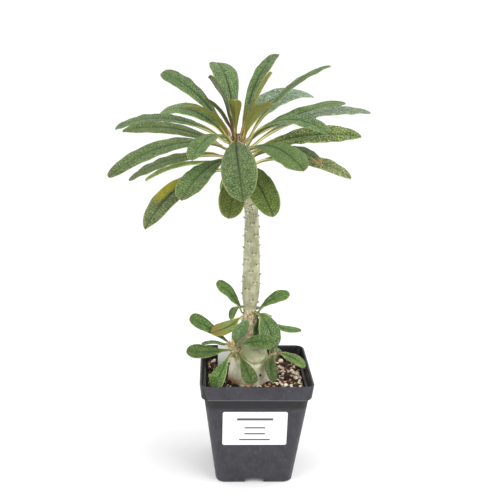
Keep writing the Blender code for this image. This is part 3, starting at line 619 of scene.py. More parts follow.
class Paint:
    """A material in the making: sockets take numbers, colours or nodes' outputs, and skin is its colour."""

    def __init__(self, name, roughness=0.5):
        self.material = bpy.data.materials.new(name)
        self.material.use_nodes = True
        self.tree = self.material.node_tree
        self.shader = self.tree.nodes["Principled BSDF"]
        self.coordinates = self.add("TexCoord").outputs["Object"]
        self.skin = None
        self.set("Roughness", roughness)

    def add(self, kind, **values):
        node = self.tree.nodes.new("ShaderNode" + kind)
        for name, value in values.items():
            self.feed(node.inputs[name], value)
        return node

    def feed(self, socket, value):
        if isinstance(value, bpy.types.NodeSocket):
            self.tree.links.new(value, socket)
        elif isinstance(value, tuple) and len(value) == 3 and socket.type == "RGBA":
            socket.default_value = (*value, 1)
        else:
            socket.default_value = value

    def set(self, name, value):
        self.feed(self.shader.inputs[name], value)

    def value(self, name):
        """The number of this name that the piece's points carry."""
        node = self.add("Attribute")
        node.attribute_name = name
        return node.outputs["Fac"]

    def math(self, operation, first, second=0.0):
        node = self.add("Math")
        node.operation = operation
        self.feed(node.inputs[0], first)
        self.feed(node.inputs[1], second)
        return node.outputs[0]

    def plus(self, first, second):
        return self.math("ADD", first, second)

    def times(self, product, *others):
        for other in others:
            product = self.math("MULTIPLY", product, other)
        return product

    def mix(self, share, first, second):
        node = self.add("Mix")
        node.data_type = "RGBA"
        self.feed(node.inputs[0], share)
        self.feed(node.inputs[6], first)
        self.feed(node.inputs[7], second)
        return node.outputs[2]

    def lay(self, share, colour):
        """Covers this share of the skin with the colour."""
        self.skin = self.mix(share, self.skin, colour)

    def step(self, value, low, high, out_low=0.0, out_high=1.0):
        """A smooth step of the value from low to high."""
        node = self.add("MapRange")
        node.interpolation_type = "SMOOTHSTEP"
        for socket, number in zip(node.inputs[:5], (value, low, high, out_low, out_high)):
            self.feed(socket, number)
        return node.outputs[0]

    def band(self, value, rise, fall, strength=1.0):
        """A band that starts over the rise and ends over the fall."""
        return self.times(self.step(value, *rise), self.step(value, *fall, strength, 0.0))

    def noise(self, size, detail=2.0, squeeze=(1, 1, 1), seed=0.0):
        """Noise with features of this size in metres, squeezed along the axes by these factors."""
        place = self.add("Mapping", Vector=self.coordinates, Scale=squeeze, Location=(seed, seed, seed))
        return self.add("TexNoise", Vector=place.outputs[0], Scale=1 / size, Detail=detail).outputs["Fac"]

    def patches(self, size, detail, low, high, out_low=0.0, out_high=1.0, **placing):
        """Soft-edged patches: a step of the noise."""
        return self.step(self.noise(size, detail, **placing), low, high, out_low, out_high)

    def cells(self, size):
        """The distance from scattered points this far apart, as a share of that size."""
        return self.add("TexVoronoi", Vector=self.coordinates, Scale=1 / size).outputs["Distance"]

    def dots(self, size, low, high, strength=1.0):
        """Round dots this far apart, full within low and gone beyond high."""
        return self.step(self.cells(size), low, high, strength, 0.0)

    def bump(self, height, distance, strength=1.0):
        node = self.add("Bump", Height=height, Distance=distance, Strength=strength)
        self.set("Normal", node.outputs[0])

    def done(self):
        """The material, with its skin as laid."""
        self.set("Base Color", self.skin)
        return self.material


def scaled(colour, scales):
    """The colour with its parts times one scale, or a scale for each."""
    return tuple(np.multiply(colour, scales))


def tinted(look, light, warmth):
    """The look with all of its colours made lighter, and moved from blue towards red by the warmth."""
    scales = (light * (1 + warmth), light, light * (1 - warmth))
    colours = {key: value for key, value in look._asdict().items() if isinstance(value, tuple)}
    return look._replace(**{key: scaled(colour, scales) for key, colour in colours.items()})


def lay_flecks(paint, look):
    """The blade's skin: broad patches, each cell's own shade, dark pits of painted shade, pale flecks of
    painted highlight, and dark veins that are partly painted shade.
    """
    broad = paint.patches(0.014, 3, 0.38, 0.62)
    paint.skin = paint.mix(paint.times(broad, 0.65), look.cell, look.under)
    paint.lay(paint.times(paint.value("shade"), 0.45), look.under)
    # painted shade: dark pits stand in for the shade in small hollows between the puckers
    pit_shade = paint.patches(0.0024, 3, 0.5, 0.64, 0.0, 0.38, seed=3.0)
    paint.lay(pit_shade, look.vein)
    # painted highlights: the pale flecks stand in for glints on the puckered cells
    clusters = paint.patches(0.006, 2, 0.36, 0.62, 0.1, 0.8)
    dots = paint.times(paint.dots(0.0013, 0.2, 0.48), clusters)
    fine = paint.patches(0.0013, 3, 0.42, 0.6, 0.0, 0.5)
    paint.lay(paint.times(paint.plus(dots, fine), look.flecks), look.fleck)
    # painted shade in part: the sunken veins are darkened beyond their own colour
    paint.lay(paint.times(paint.value("vein"), 0.85), look.vein)


def lay_blemishes(paint, look, along, across):
    """Brown blotches and a yellow flank where the look has them, and the ragged tip."""
    if look.blotches:
        blotches = paint.patches(0.0035, 4, 0.46, 0.6, 0.0, look.blotches, seed=7.0)
        paint.lay(blotches, look.blotch)
    if look.flank_side:
        flank = paint.step(paint.times(across, look.flank_side), 0.1, 0.35)
        middle = paint.band(along, (0.3, 0.42), (0.7, 0.82))
        patchy = paint.patches(0.004, 3, 0.3, 0.5, 0.5, 1.0, seed=4.0)
        paint.lay(paint.times(middle, flank, patchy), look.flank)
    ragged = paint.plus(along, paint.times(paint.noise(0.006, 3), 0.06))
    paint.lay(paint.step(ragged, look.tip_start, 1.04), look.tip)


def leaf_material(name, look):
    """Puckered leaf skin: pale flecks of painted highlight between dark sunken veins that are partly painted
    shade, a midrib partly darkened as painted shade, fine hairs, a pale margin and underside.
    """
    paint = Paint("leaf " + name)
    paint.set("Sheen Weight", 0.1)
    paint.set("Sheen Roughness", 0.4)
    paint.set("Specular IOR Level", 0.35)
    along, across = paint.value("along"), paint.value("across")
    lay_flecks(paint, look)
    lay_blemishes(paint, look, along, across)
    # painted shade in part: the midrib's dark colour on the upper face stands for shade in its groove
    rib_share = paint.step(along, 0.55, 1.0, 0.95, 0.35)
    paint.lay(paint.times(paint.value("rib"), rib_share), look.rib)
    woolly = paint.times(paint.patches(0.0011, 3, 0.42, 0.62), 0.35)
    pale = paint.plus(paint.times(paint.value("vein"), 0.5), woolly)
    paint.lay(paint.value("under"), paint.mix(pale, look.under, look.margin))
    paint.lay(paint.step(along, 0.12, 0.36, 1.0, 0.0), look.stalk)
    lip = paint.mix(paint.step(along, 0.16, 0.45), look.lip, look.margin)
    inside = paint.step(along, 0.12, 0.4, 0.45, 0.92)
    beyond = paint.math("SUBTRACT", paint.math("ABSOLUTE", across), inside)
    paint.lay(paint.step(beyond, 0.0, 0.08), lip)
    paint.set("Roughness", paint.patches(0.0015, 2, 0.3, 0.7, 0.46, 0.68))
    grain = paint.plus(paint.noise(0.0006, 3), paint.times(paint.cells(0.0011), 0.8))
    paint.bump(grain, 0.00042)
    return paint.done()


def bark_material():
    """Waxy grey-green bark with tan scars, dark specks near the crown, a papery neck and a stained foot.

    It grows paler towards the soil, partly painted light, and has a darker green band below the lower
    leaves, partly painted shade.
    """
    paint = Paint("trunk bark")
    paint.set("Specular IOR Level", 0.4)
    paint.set("Coat Weight", 0.45)
    paint.set("Coat Roughness", 0.25)
    place = paint.add("SeparateXYZ", Vector=paint.coordinates).outputs
    height = place["Z"]
    streaks = paint.patches(0.0013, 4, 0.42, 0.66, squeeze=(1, 1, 0.25))
    patches = paint.patches(0.007, 3, 0.38, 0.62)
    paint.skin = paint.mix(patches, (0.262, 0.27, 0.148), (0.405, 0.398, 0.255))
    paint.lay(paint.times(streaks, 0.35), (0.17, 0.155, 0.095))
    # painted light in part: the paler shoulder and foot lift the shade the leaves cast low on the trunk
    shoulder = paint.mix(patches, (0.42, 0.45, 0.24), (0.76, 0.745, 0.5))
    paint.lay(paint.step(height, 0.098, 0.112, 0.9, 0.0), shoulder)
    foot = paint.mix(patches, (0.72, 0.705, 0.49), (0.93, 0.9, 0.72))
    paint.lay(paint.step(height, 0.086, 0.096, 0.9, 0.0), foot)
    # painted shade in part: a darker green band below the lower leaves
    shaded = paint.band(height, (0.094, 0.1), (0.112, 0.12), 0.6)
    paint.lay(shaded, (0.205, 0.232, 0.088))
    neck = paint.band(height, (0.117, 0.124), (0.134, 0.139))
    flaky = paint.patches(0.0014, 3, 0.38, 0.58, 0.35, 0.9)
    paint.lay(paint.times(neck, flaky), (0.76, 0.64, 0.39))
    ragged = paint.plus(height, paint.times(paint.noise(0.007, 3), 0.008))
    left = paint.step(place["X"], -0.014, 0.006, 0.85, 0.3)
    stain = paint.times(paint.step(ragged, 0.0815, 0.0875, 1.0, 0.0), left)
    paint.lay(stain, (0.48, 0.23, 0.09))
    paint.lay(paint.dots(0.0024, 0.1, 0.16, 0.3), (0.13, 0.115, 0.07))
    specks = paint.times(paint.step(height, 0.19, 0.218), paint.dots(0.0021, 0.2, 0.36, 0.9))
    paint.lay(specks, (0.05, 0.045, 0.03))
    paint.lay(paint.step(height, 0.24, 0.258), (0.17, 0.12, 0.045))
    paint.lay(paint.value("scar"), (0.58, 0.54, 0.4))
    paint.lay(paint.value("mark"), (0.008, 0.006, 0.004))
    paint.set("Roughness", paint.step(streaks, 0.0, 1.0, 0.38, 0.55))
    paint.bump(paint.plus(streaks, paint.noise(0.0005, 3)), 0.0001, 0.7)
    return paint.done()


def grain_material(name, dark, light, size):
    """Stone or bark whose shade is each grain's own, with pores of this size."""
    paint = Paint(name, 0.85)
    paint.skin = paint.mix(paint.value("grain"), dark, light)
    paint.lay(paint.patches(size, 4, 0.35, 0.6, 0.0, 0.25), scaled(dark, 0.45))
    paint.bump(paint.noise(size, 4), 0.0003, 0.9)
    return paint.done()


def thorn_material(name, root, tip):
    """Dry papery tissue that changes from root to tip."""
    paint = Paint(name, 0.7)
    paint.skin = paint.mix(paint.value("along"), root, tip)
    paint.lay(paint.patches(0.0009, 3, 0.4, 0.7, 0.0, 0.45), scaled(root, 0.4))
    paint.bump(paint.noise(0.0004, 2), 0.0001)
    return paint.done()


def plastic_material():
    """Charcoal moulded plastic: a fine grain, scuffs, dust, a painted highlight along the collar's foot and
    painted shade darkening the inner wall above the soil.
    """
    paint = Paint("charcoal plastic")
    paint.set("Specular IOR Level", 0.4)
    place = paint.add("SeparateXYZ", Vector=paint.coordinates).outputs
    height = place["Z"]
    broad = paint.patches(0.008, 5, 0.35, 0.65)
    paint.skin = paint.mix(broad, (0.023, 0.023, 0.028), (0.036, 0.036, 0.046))
    scuffs = paint.patches(0.0016, 4, 0.58, 0.72, 0.0, 0.3, squeeze=(1, 1, 0.35))
    paint.lay(scuffs, (0.11, 0.105, 0.12))
    paint.lay(paint.dots(0.0042, 0.035, 0.06, 0.5), (0.22, 0.21, 0.2))
    # painted highlight: a light line along the foot of the collar
    collar_highlight = paint.band(height, (COLLAR_FOOT - 0.0003, COLLAR_FOOT), (COLLAR_FOOT, COLLAR_FOOT + 0.0012), 0.7)
    paint.lay(collar_highlight, (0.23, 0.225, 0.24))
    # painted shade: the inner wall between the soil and the rim is darkened almost to black
    out = paint.math("MAXIMUM", paint.math("ABSOLUTE", place["X"]), paint.math("ABSOLUTE", place["Y"]))
    within = (COLLAR_FOOT_WIDTH + RIM_WIDTH) / 4 - RIM_WALL * 0.7
    inner = paint.step(out, within - 0.0002, within + 0.0002, 0.85, 0.0)
    paint.lay(paint.times(inner, paint.step(height, 0.066, 0.07)), (0.004, 0.003, 0.003))
    paint.set("Roughness", paint.step(broad, 0.3, 0.7, 0.4, 0.55))
    paint.bump(paint.noise(0.0004, 3), 0.00006, 0.6)
    return paint.done()


def sheet_material(name, colour, roughness):
    """White sheet with a faint mottle and a very fine tooth."""
    paint = Paint(name, roughness)
    mottle = paint.patches(0.004, 3, 0.35, 0.7, 0.0, 0.35)
    paint.skin = paint.mix(mottle, colour, scaled(colour, 0.9))
    paint.bump(paint.noise(0.0003, 3), 0.00003, 0.5)
    return paint.done()


def mottled_material(name, roughness, size, dark, light):
    """Two close shades in patches of this size."""
    paint = Paint(name, roughness)
    paint.skin = paint.mix(paint.noise(size), dark, light)
    return paint.done()


def rounded_outline(width, height, corner):
    """Anticlockwise round a rectangle with rounded corners."""
    outline = []
    for quarter, (side_x, side_y) in enumerate(CORNERS):
        for step in range(CORNER_STEPS + 1):
            x, y, _ = heading(90 * (quarter + step / CORNER_STEPS), 0) * corner
            outline.append((side_x * (width / 2 - corner) + x, side_y * (height / 2 - corner) + y))
    return outline


def body_width(height):
    """The outer width of the tapered body, without the collar."""
    return BASE_WIDTH + (BODY_TOP_WIDTH - BASE_WIDTH) * height / COLLAR_FOOT


def rounded(height, width, corner, radius, start, end):
    """Rows of height, width and corner radius round a quarter turn about this height and width."""
    rows = []
    for step in range(ROUND_STEPS + 1):
        turn = radians(start + (end - start) * step / ROUND_STEPS)
        out = radius * cos(turn)
        rows.append((height + radius * sin(turn), width + 2 * out, corner + out))
    return rows


def pot_rows():
    """Heights, widths and corners up the outside from the underside, over the rim, and down the inside."""
    shoulder = COLLAR_FOOT + WALL
    foot, edge = FOOT_ROUND, EDGE_ROUND
    inner, inner_corner = RIM_WIDTH - 2 * RIM_WALL, RIM_CORNER - RIM_WALL
    rows = rounded(foot, body_width(foot) - 2 * foot, BODY_CORNER - foot, foot, -90, 0)
    rows += [(COLLAR_FOOT, body_width(COLLAR_FOOT), BODY_CORNER)]
    rows += rounded(COLLAR_FOOT + edge, COLLAR_FOOT_WIDTH - 2 * edge, RIM_CORNER - edge, edge, -90, 0)
    rows += rounded(POT_HEIGHT - edge, RIM_WIDTH - 2 * edge, RIM_CORNER - edge, edge, 0, 90)
    rows += rounded(POT_HEIGHT - edge, inner + 2 * edge, inner_corner + edge, -edge, -90, 0)
    rows += [
        (shoulder + edge, COLLAR_FOOT_WIDTH - 2 * RIM_WALL, inner_corner),
        (shoulder, body_width(COLLAR_FOOT) - 2 * WALL, BODY_CORNER - WALL),
        (FLOOR, body_width(FLOOR) - 2 * WALL, BODY_CORNER - WALL),
    ]
    return rows


def side_block(turn, width, depths, heights, middle=0.0, flare=0.0):
    """A block on one side of the pot, between two distances from its axis and two heights.

    It is wider at its foot by the flare on each side.
    """
    outer, inner = depths
    points = []
    for z, wider in zip(heights, (flare, 0)):
        left, right = middle - width / 2 - wider, middle + width / 2 + wider
        points += [(left, -outer, z), (right, -outer, z), (right, -inner, z), (left, -inner, z)]
    turned = Matrix.Rotation(radians(turn), 3, "Z")
    return loose_mesh("block", [turned @ Vector(point) for point in points], tube_faces(2, 4, tipped=False))


def combine(target, others, operation):
    """Applies one Boolean of all the others to the target, then removes them."""
    group = bpy.data.collections.new(operation)
    bpy.context.scene.collection.children.link(group)
    for other in others:
        bpy.context.scene.collection.objects.unlink(other)
        group.objects.link(other)
    modifier = target.modifiers.new(operation, "BOOLEAN")
    modifier.operation = operation
    modifier.operand_type = "COLLECTION"
    modifier.collection = group
    modifier.solver = "EXACT"
    graph = bpy.context.evaluated_depsgraph_get()
    result = bpy.data.meshes.new_from_object(target.evaluated_get(graph))
    target.modifiers.clear()
    target.data = result
    for other in others:
        bpy.data.objects.remove(other)
    bpy.data.collections.remove(group)


def notch_block(turn, grown, foot, outer):
    """The shape of a drainage notch at the foot of one side, grown by a wall."""
    inner = body_width(0) / 2 - NOTCH_DEPTH - grown
    heights = (foot, NOTCH_HEIGHT + grown)
    return side_block(turn, NOTCH_WIDTH + 2 * grown, (outer, inner), heights, flare=NOTCH_FLARE)


def notch_slots(turn):
    """Three small drainage slots through the inner wall of a notch."""
    inner = body_width(0) / 2 - NOTCH_DEPTH
    depths, heights = (inner + WALL, inner - 2 * WALL), (FLOOR + GAP, NOTCH_HEIGHT - WALL / 2)
    return [side_block(turn, SLOT_WIDTH, depths, heights, place * SLOT_PITCH) for place in (-1, 0, 1)]


def collar_lug(turn):
    """The small moulded lug under the middle of the collar."""
    face = body_width(COLLAR_FOOT) / 2
    heights = (COLLAR_FOOT - LUG_HEIGHT, COLLAR_FOOT + WALL / 2)
    return side_block(turn, LUG_WIDTH, (face + LUG_DEPTH, face - WALL / 2), heights)


def build_pot():
    """The tapered pot as one hollow shell, with its notches, slots and lugs."""
    rows = pot_rows()
    rings = [rounded_outline(width, width, corner) for _, width, corner in rows]
    points = [(x, y, row[0]) for row, ring in zip(rows, rings) for x, y in ring]
    pot = loose_mesh("pot_shell", points, tube_faces(len(rings), len(rings[0]), tipped=False))
    within_wall = (body_width(NOTCH_HEIGHT) - WALL) / 2
    housings = [notch_block(turn, WALL, FLOOR / 2, within_wall) for turn in QUARTERS]
    combine(pot, housings + [collar_lug(turn) for turn in QUARTERS], "UNION")
    notches = [notch_block(turn, 0, -FLOOR, RIM_WIDTH / 2) for turn in QUARTERS]
    combine(pot, notches + [slot for turn in QUARTERS for slot in notch_slots(turn)], "DIFFERENCE")
    dress(pot, plastic_material(), "pot", "edged")


def plate_points(outline, depths):
    """The outline about the label's middle, at each of these depths out of the pot's sloping front."""
    slope = (BODY_TOP_WIDTH - BASE_WIDTH) / 2 / COLLAR_FOOT
    middle = Vector((LABEL_MIDDLE[0], -body_width(LABEL_MIDDLE[1]) / 2, LABEL_MIDDLE[1]))
    up, outward = Vector((0, -slope, 1)).normalized(), Vector((0, -1, -slope)).normalized()
    return [middle + Vector((x, 0, 0)) + up * z + outward * depth for depth in depths for x, z in outline]


def build_label():
    """A thin blank plate with round corners and a soft edge, and the ruled lines of a blank label."""
    soft = LABEL_THICKNESS / 4
    wide = rounded_outline(LABEL_WIDTH, LABEL_HEIGHT, LABEL_CORNER)
    narrow = rounded_outline(LABEL_WIDTH - 2 * soft, LABEL_HEIGHT - 2 * soft, LABEL_CORNER - soft)
    outer = GAP + LABEL_THICKNESS
    points = plate_points(wide, (GAP / 4, outer - soft)) + plate_points(narrow, (outer,))
    faces = tube_faces(3, len(wide), tipped=False)
    paper = sheet_material("label paper", (0.86, 0.86, 0.87), 0.5)
    make_piece("label_plate", points, faces, paper, "label_sticker", shading="edged")
    points, faces = [], []
    for height, width, half in LABEL_LINES:
        outline = [(x * width / 2, height + z * half) for x, z in CORNERS]
        faces += tube_faces(2, 4, tipped=False, start=len(points))
        points += plate_points(outline, (outer - soft, outer + LINE_THICKNESS))
    ink = mottled_material("grey ink", 0.6, 0.0006, (0.045, 0.045, 0.05), (0.09, 0.09, 0.1))
    make_piece("label_lines", points, faces, ink, shading="flat")


def build_tag():
    """A thin white plastic tag with rounded corners, leaning back a little."""
    outline = rounded_outline(TAG_WIDTH, TAG_LENGTH, TAG_CORNER)
    across = Matrix.Rotation(radians(TAG_TURN), 3, "Z") @ Vector((1, 0, 0))
    down = Vector((0, -sin(radians(TAG_LEAN)), -cos(radians(TAG_LEAN))))
    through = down.cross(across).normalized() * TAG_THICKNESS / 2
    middle = Vector(TAG_TOP) + down * TAG_LENGTH / 2
    points = []
    for depth, share in TAG_SECTIONS:
        points += [middle + across * x * share - down * z + through * depth for x, z in outline]
    faces = tube_faces(len(TAG_SECTIONS), len(outline), tipped=False)
    plastic = sheet_material("tag plastic", (0.93, 0.94, 0.97), 0.35)
    make_piece("tag_plate", points, faces, plastic, "plant_tag", shading="edged")


def trunk_surface(heights, azimuths):
    """Points of the trunk's plain skin."""
    heights, azimuths = np.broadcast_arrays(heights, azimuths)
    lobes = sum(share * np.cos(np.radians(count * azimuths + phase)) for count, phase, share in LOBE_WAVES)
    depth = LOBE_DEPTH * (1 - ease(*LOBE_HEIGHTS, heights))
    radius = read_curve(TRUNK_RADIUS, heights)[..., 0] * (1 + depth * lobes)
    axis = np.concatenate([read_curve(TRUNK_AXIS, heights), heights[..., None]], -1)
    return axis + heading(azimuths, 0) * radius[..., None]


def trunk_normal(heights, azimuths):
    """The directions straight out of the trunk's plain skin."""
    up = trunk_surface(heights + NORMAL_STEP, azimuths) - trunk_surface(heights - NORMAL_STEP, azimuths)
    around = trunk_surface(heights, azimuths + 1) - trunk_surface(heights, azimuths - 1)
    return unit(np.cross(around, up))


def scar_places():
    """Heights and azimuths of the leaf scars, in a spiral up the stem."""
    count = np.arange(SCARS)
    return SCAR_START + (SCAR_END - SCAR_START) * count / (SCARS - 1), (SCAR_TURN * count) % 360


def scar_relief(heights, azimuths, radius):
    """How far the scars stand out of the bark, and how much of each point's colour is scar."""
    relief, stain = 0, 0
    for height, azimuth in zip(*scar_places()):
        away = (azimuths - azimuth + 180) % 360 - 180
        around = np.radians(away) * radius / SCAR_WIDTH
        above = (heights - height + SCAR_HEIGHT / 2) / SCAR_HEIGHT
        distance = around**2 + above**2
        relief = relief + SCAR_RISE * np.exp(-distance) - SCAR_PIT * np.exp(-4 * distance)
        stain = np.maximum(stain, SCAR_STAIN * np.exp(-2.5 * distance))
    return relief, stain


def crease_relief(heights, azimuths):
    """The folds of the swollen foot, each with a full lip above it."""
    relief = 0
    for line in CREASES:
        places, turns = np.array(line).T
        above = heights - np.interp(azimuths, turns, places)
        beyond = np.maximum(turns[0] - azimuths, azimuths - turns[-1])
        lip = LIP_SHARE * np.exp(-(((above - LIP_RISE) / LIP_WIDTH) ** 2))
        fold = np.exp(-((above / CREASE_WIDTH) ** 2))
        relief = relief + CREASE_DEPTH * (lip - fold) * (1 - ease(0, CREASE_FADE, beyond))
    return relief


def mark_stain(heights, azimuths, radius):
    """How much of each point's colour is the dark mark's."""
    height, azimuth, size = MARK
    away = np.hypot(heights - height, np.radians(azimuths - azimuth) * radius)
    return 1 - ease(0.6 * size, 1.3 * size, away)


def build_trunk():
    """The swollen foot, neck and stem, with folds, lumps, upright wrinkles and leaf scars."""
    heights = np.arange(TRUNK_RADIUS[0][0], TRUNK_RADIUS[-1][0], RING_STEP)[:, None]
    azimuths = np.arange(TRUNK_TURNS)[None, :] * 360 / TRUNK_TURNS
    points = trunk_surface(heights, azimuths)
    radius = read_curve(TRUNK_RADIUS, heights[:, 0])
    swollen = 1 - ease(*LOBE_HEIGHTS, heights)
    x, y, z = np.moveaxis(points, -1, 0)
    lumps = LUMP_DEPTH * ripple(1, LUMP_SIZE, x, y, z) * (STEM_LUMPS + (1 - STEM_LUMPS) * swollen)
    lean = WRINKLE_LEAN * ripple(2, 0.03, z, x)
    wrinkles = sum(np.sin(np.radians(count * (azimuths + lean))) for count in WRINKLE_COUNTS)
    wrinkles = WRINKLE_DEPTH * wrinkles * (STEM_WRINKLES + (1 - STEM_WRINKLES) * swollen)
    scars, stain = scar_relief(heights, azimuths, radius)
    relief = lumps + wrinkles + scars + crease_relief(heights, azimuths)
    relief = relief * ease(0, SMOOTH_TOP, TRUNK_TIP - heights)
    points = points + heading(azimuths, 0) * relief[..., None]
    tip = trunk_surface(TRUNK_TIP, 0) - heading(0, 0) * read_curve(TRUNK_RADIUS, TRUNK_TIP)[0]
    points = np.concatenate([points.reshape(-1, 3), tip[None]])
    marks = mark_stain(heights, azimuths, radius)
    values = {"scar": np.append(np.broadcast_to(stain, x.shape), 0), "mark": np.append(marks, 0)}
    faces = tube_faces(len(heights), TRUNK_TURNS)
    make_piece("trunk_skin", points, faces, bark_material(), "trunk", values)


def shoot_axis(name):
    """The root and the head of a side shoot's stub, the direction between them, and its radius."""
    root, head, radius = SHOOTS[name]
    root, head = np.array(root), np.array(head)
    return root, head, unit(head - root), radius


def build_shoots():
    """The two short stubs that carry the side shoots' leaves, knobbly with old leaf bases."""
    points, faces = [], []
    turns = np.radians(np.arange(STUB_TURNS) * 360 / STUB_TURNS)[:, None]
    for name, bud in SHOOT_BUDS.items():
        root, head, along, radius = shoot_axis(name)
        beyond, narrowed = STUB_ROUND
        stations = np.array((root, head, head + along * radius * beyond, root + (head - root) * bud))
        shares = (STUB_FLARE, 1, narrowed, 0)
        places = np.linspace(0, 1, STUB_RINGS) ** 0.8 * (len(shares) - 1)
        centres = np.stack([np.interp(places, range(len(shares)), column) for column in stations.T], -1)
        radii = np.interp(places, range(len(shares)), shares) ** 0.7 * radius
        side = unit(np.cross(along, (0, 0, 1)))
        spokes = side * np.cos(turns) - np.cross(side, along) * np.sin(turns)
        ring = centres[:, None] + spokes * radii[:, None, None]
        ring = ring + spokes * STUB_ROUGH * ripple(5, 0.003, *np.moveaxis(ring, -1, 0))[..., None]
        faces += tube_faces(STUB_RINGS - 1, STUB_TURNS, start=len(points))
        points += [*ring[:-1].reshape(-1, 3), ring[-1, 0]]
    values = {"scar": np.full(len(points), 0.2)}
    make_piece("side_shoot_stubs", points, faces, bark_material(), values=values)


def build_thorns(rng, name, roots, directions, sides):
    """Many small curved points of one kind in one piece, each with its width along its side."""
    kind = THORNS[name]
    sizes, reaches = rng.uniform(*kind.sizes, len(roots)), rng.uniform(*kind.reaches, len(roots))
    turns = np.arange(THORN_CORNERS) * 2 * pi / THORN_CORNERS
    points, faces = [], []
    for root, direction, side, size, reach in zip(roots, directions, sides, sizes, reaches):
        through = unit(np.cross(direction, side))
        level = np.cross(through, direction)
        spokes = np.outer(np.cos(turns), level) + np.outer(np.sin(turns), through) * kind.flat
        faces += tube_faces(len(THORN_RINGS), THORN_CORNERS, start=len(points))
        for step in THORN_RINGS:
            middle = root + (direction * step + through * THORN_BEND * step**2) * reach
            points += [*(middle + spokes * size * (1 - step) ** 0.6)]
        points.append(root + (direction + through * THORN_BEND) * reach)
    values = {"along": np.tile([*np.repeat(THORN_RINGS, THORN_CORNERS), 1], len(roots))}
    material = thorn_material(kind.material, kind.root, kind.tip)
    make_piece(name, points, faces, material, values=values)


def trunk_roots(heights, azimuths, sunk):
    """Points sunk this far into the trunk's skin, and the directions out of it and level along it there."""
    normals = trunk_normal(heights, azimuths)
    return trunk_surface(heights, azimuths) - normals * sunk, normals, heading(azimuths + 90, 0)


def build_stem_stipules(rng):
    """A pair of dark points beside each leaf scar."""
    heights, azimuths = np.repeat(scar_places(), 2, axis=1)
    radii = read_curve(TRUNK_RADIUS, heights)[:, 0]
    azimuths = azimuths + np.tile((-1, 1), SCARS) * np.degrees(STIPULE_SPREAD / radii)
    roots, normals, sides = trunk_roots(heights, azimuths, STIPULE_SUNK)
    directions = unit(normals + (0, 0, 0.4) + rng.normal(0, 0.15, normals.shape))
    build_thorns(rng, "stem_stipules", roots, directions, sides)


def build_neck_scales(rng):
    """Papery tan scales all round the neck, and a few more down the front below it."""
    around = rng.uniform(0, 360, NECK_SCALES), rng.uniform(*NECK_HEIGHTS, NECK_SCALES)
    front = rng.uniform(*FRONT_AZIMUTHS, FRONT_SCALES), rng.uniform(*FRONT_HEIGHTS, FRONT_SCALES)
    azimuths, heights = np.concatenate([around, front], 1)
    roots, normals, sides = trunk_roots(heights, azimuths, SCALE_SUNK)
    leans = [(0, 0, rng.choice((-1.0, 1.0))) + rng.normal(0, 0.25, 3) for _ in heights]
    build_thorns(rng, "neck_scales", roots, unit(normals * 0.8 + leans), sides)


def build_crown_stipules(rng):
    """Reddish stipules with cream tips, upright round the top of the stem between the leaf stalks."""
    azimuths = rng.uniform(0, 360, CROWN_STIPULES)
    heights = rng.uniform(*CROWN_HEIGHTS, CROWN_STIPULES)
    roots, _, sides = trunk_roots(heights, azimuths, CROWN_SUNK)
    upright = (0, 0, 1.3) + rng.normal(0, 0.2, (CROWN_STIPULES, 3))
    build_thorns(rng, "crown_stipules", roots, unit(heading(azimuths, 0) * 0.6 + upright), sides)


def build_shoot_stipules(rng):
    """Dense spiky stipules on each side shoot and round its bud, dry and yellow or brown."""
    for name, count in SHOOT_STIPULES.items():
        root, head, along, radius = shoot_axis(name)
        spokes = rng.normal(size=(count, 3))
        spokes = unit(spokes - (spokes @ along)[:, None] * along)
        bud = SHOOT_BUDS[name]
        places = rng.uniform(0.3, bud, count)
        shrink = np.interp(places, (1, 1 + 0.3 * (bud - 1), bud), (0.9, 0.6, 0.1))
        roots = root + (head - root) * places[:, None] + spokes * radius * shrink[:, None]
        leans = along * rng.uniform(0.2, 1.6, (count, 1)) + rng.normal(0, 0.2, (count, 3))
        piece = name.replace(" ", "_") + "_stipules"
        build_thorns(rng, piece, roots, unit(spokes + leans), np.cross(along, spokes))


def leaf_seat(leaf):
    """The point just clear of the skin where the leaf starts, and the direction straight out of the skin."""
    if isinstance(leaf.seat, str):
        _, head, along, radius = shoot_axis(leaf.seat)
        out = unit(heading(leaf.azimuth, leaf.rise) + SHOOT_LEAN * along)
        return head + out * (radius + GAP), out
    out = trunk_normal(leaf.seat, leaf.azimuth)
    return trunk_surface(leaf.seat, leaf.azimuth) + out * GAP, out


def leaf_midrib(leaf):
    """Points and directions along the midrib: straight out of the skin, then into the leaf's own arc."""
    seat, out = leaf_seat(leaf)
    share = np.linspace(0, 1, MIDRIB_STEPS + 1)
    turn_length = min(TURN_LENGTH, TURN_SHARE * leaf.length)
    turn = ease(0, turn_length, share * leaf.length)[:, None]
    own = heading(leaf.azimuth + leaf.sweep * share, leaf.rise + (leaf.droop - leaf.rise) * share)
    directions = unit(out * (1 - turn) + own * turn)
    strides = directions[:-1] * leaf.length / MIDRIB_STEPS
    return np.concatenate([seat[None], seat + np.cumsum(strides, 0)]), directions


def leaf_frames(leaf, midrib, shares):
    """The midrib's points at these shares of its length, and the blade's side and upper directions there."""
    steps = np.linspace(0, 1, MIDRIB_STEPS + 1)
    points, forward = (
        np.stack([np.interp(shares, steps, column) for column in table.T], -1) for table in midrib
    )
    level = heading(leaf.azimuth + leaf.sweep * shares + 90, 0)
    forward = unit(forward)
    side = unit(level - forward * (level * forward).sum(-1, keepdims=True))
    upper = np.cross(forward, side)
    roll = (np.radians(leaf.roll) * ease(0, ROLL_SHARE, shares))[:, None]
    return points, side * np.cos(roll) + upper * np.sin(roll), upper * np.cos(roll) - side * np.sin(roll)


def stalk_width(leaf):
    return PETIOLE_LEAST + PETIOLE_GROWTH * leaf.width


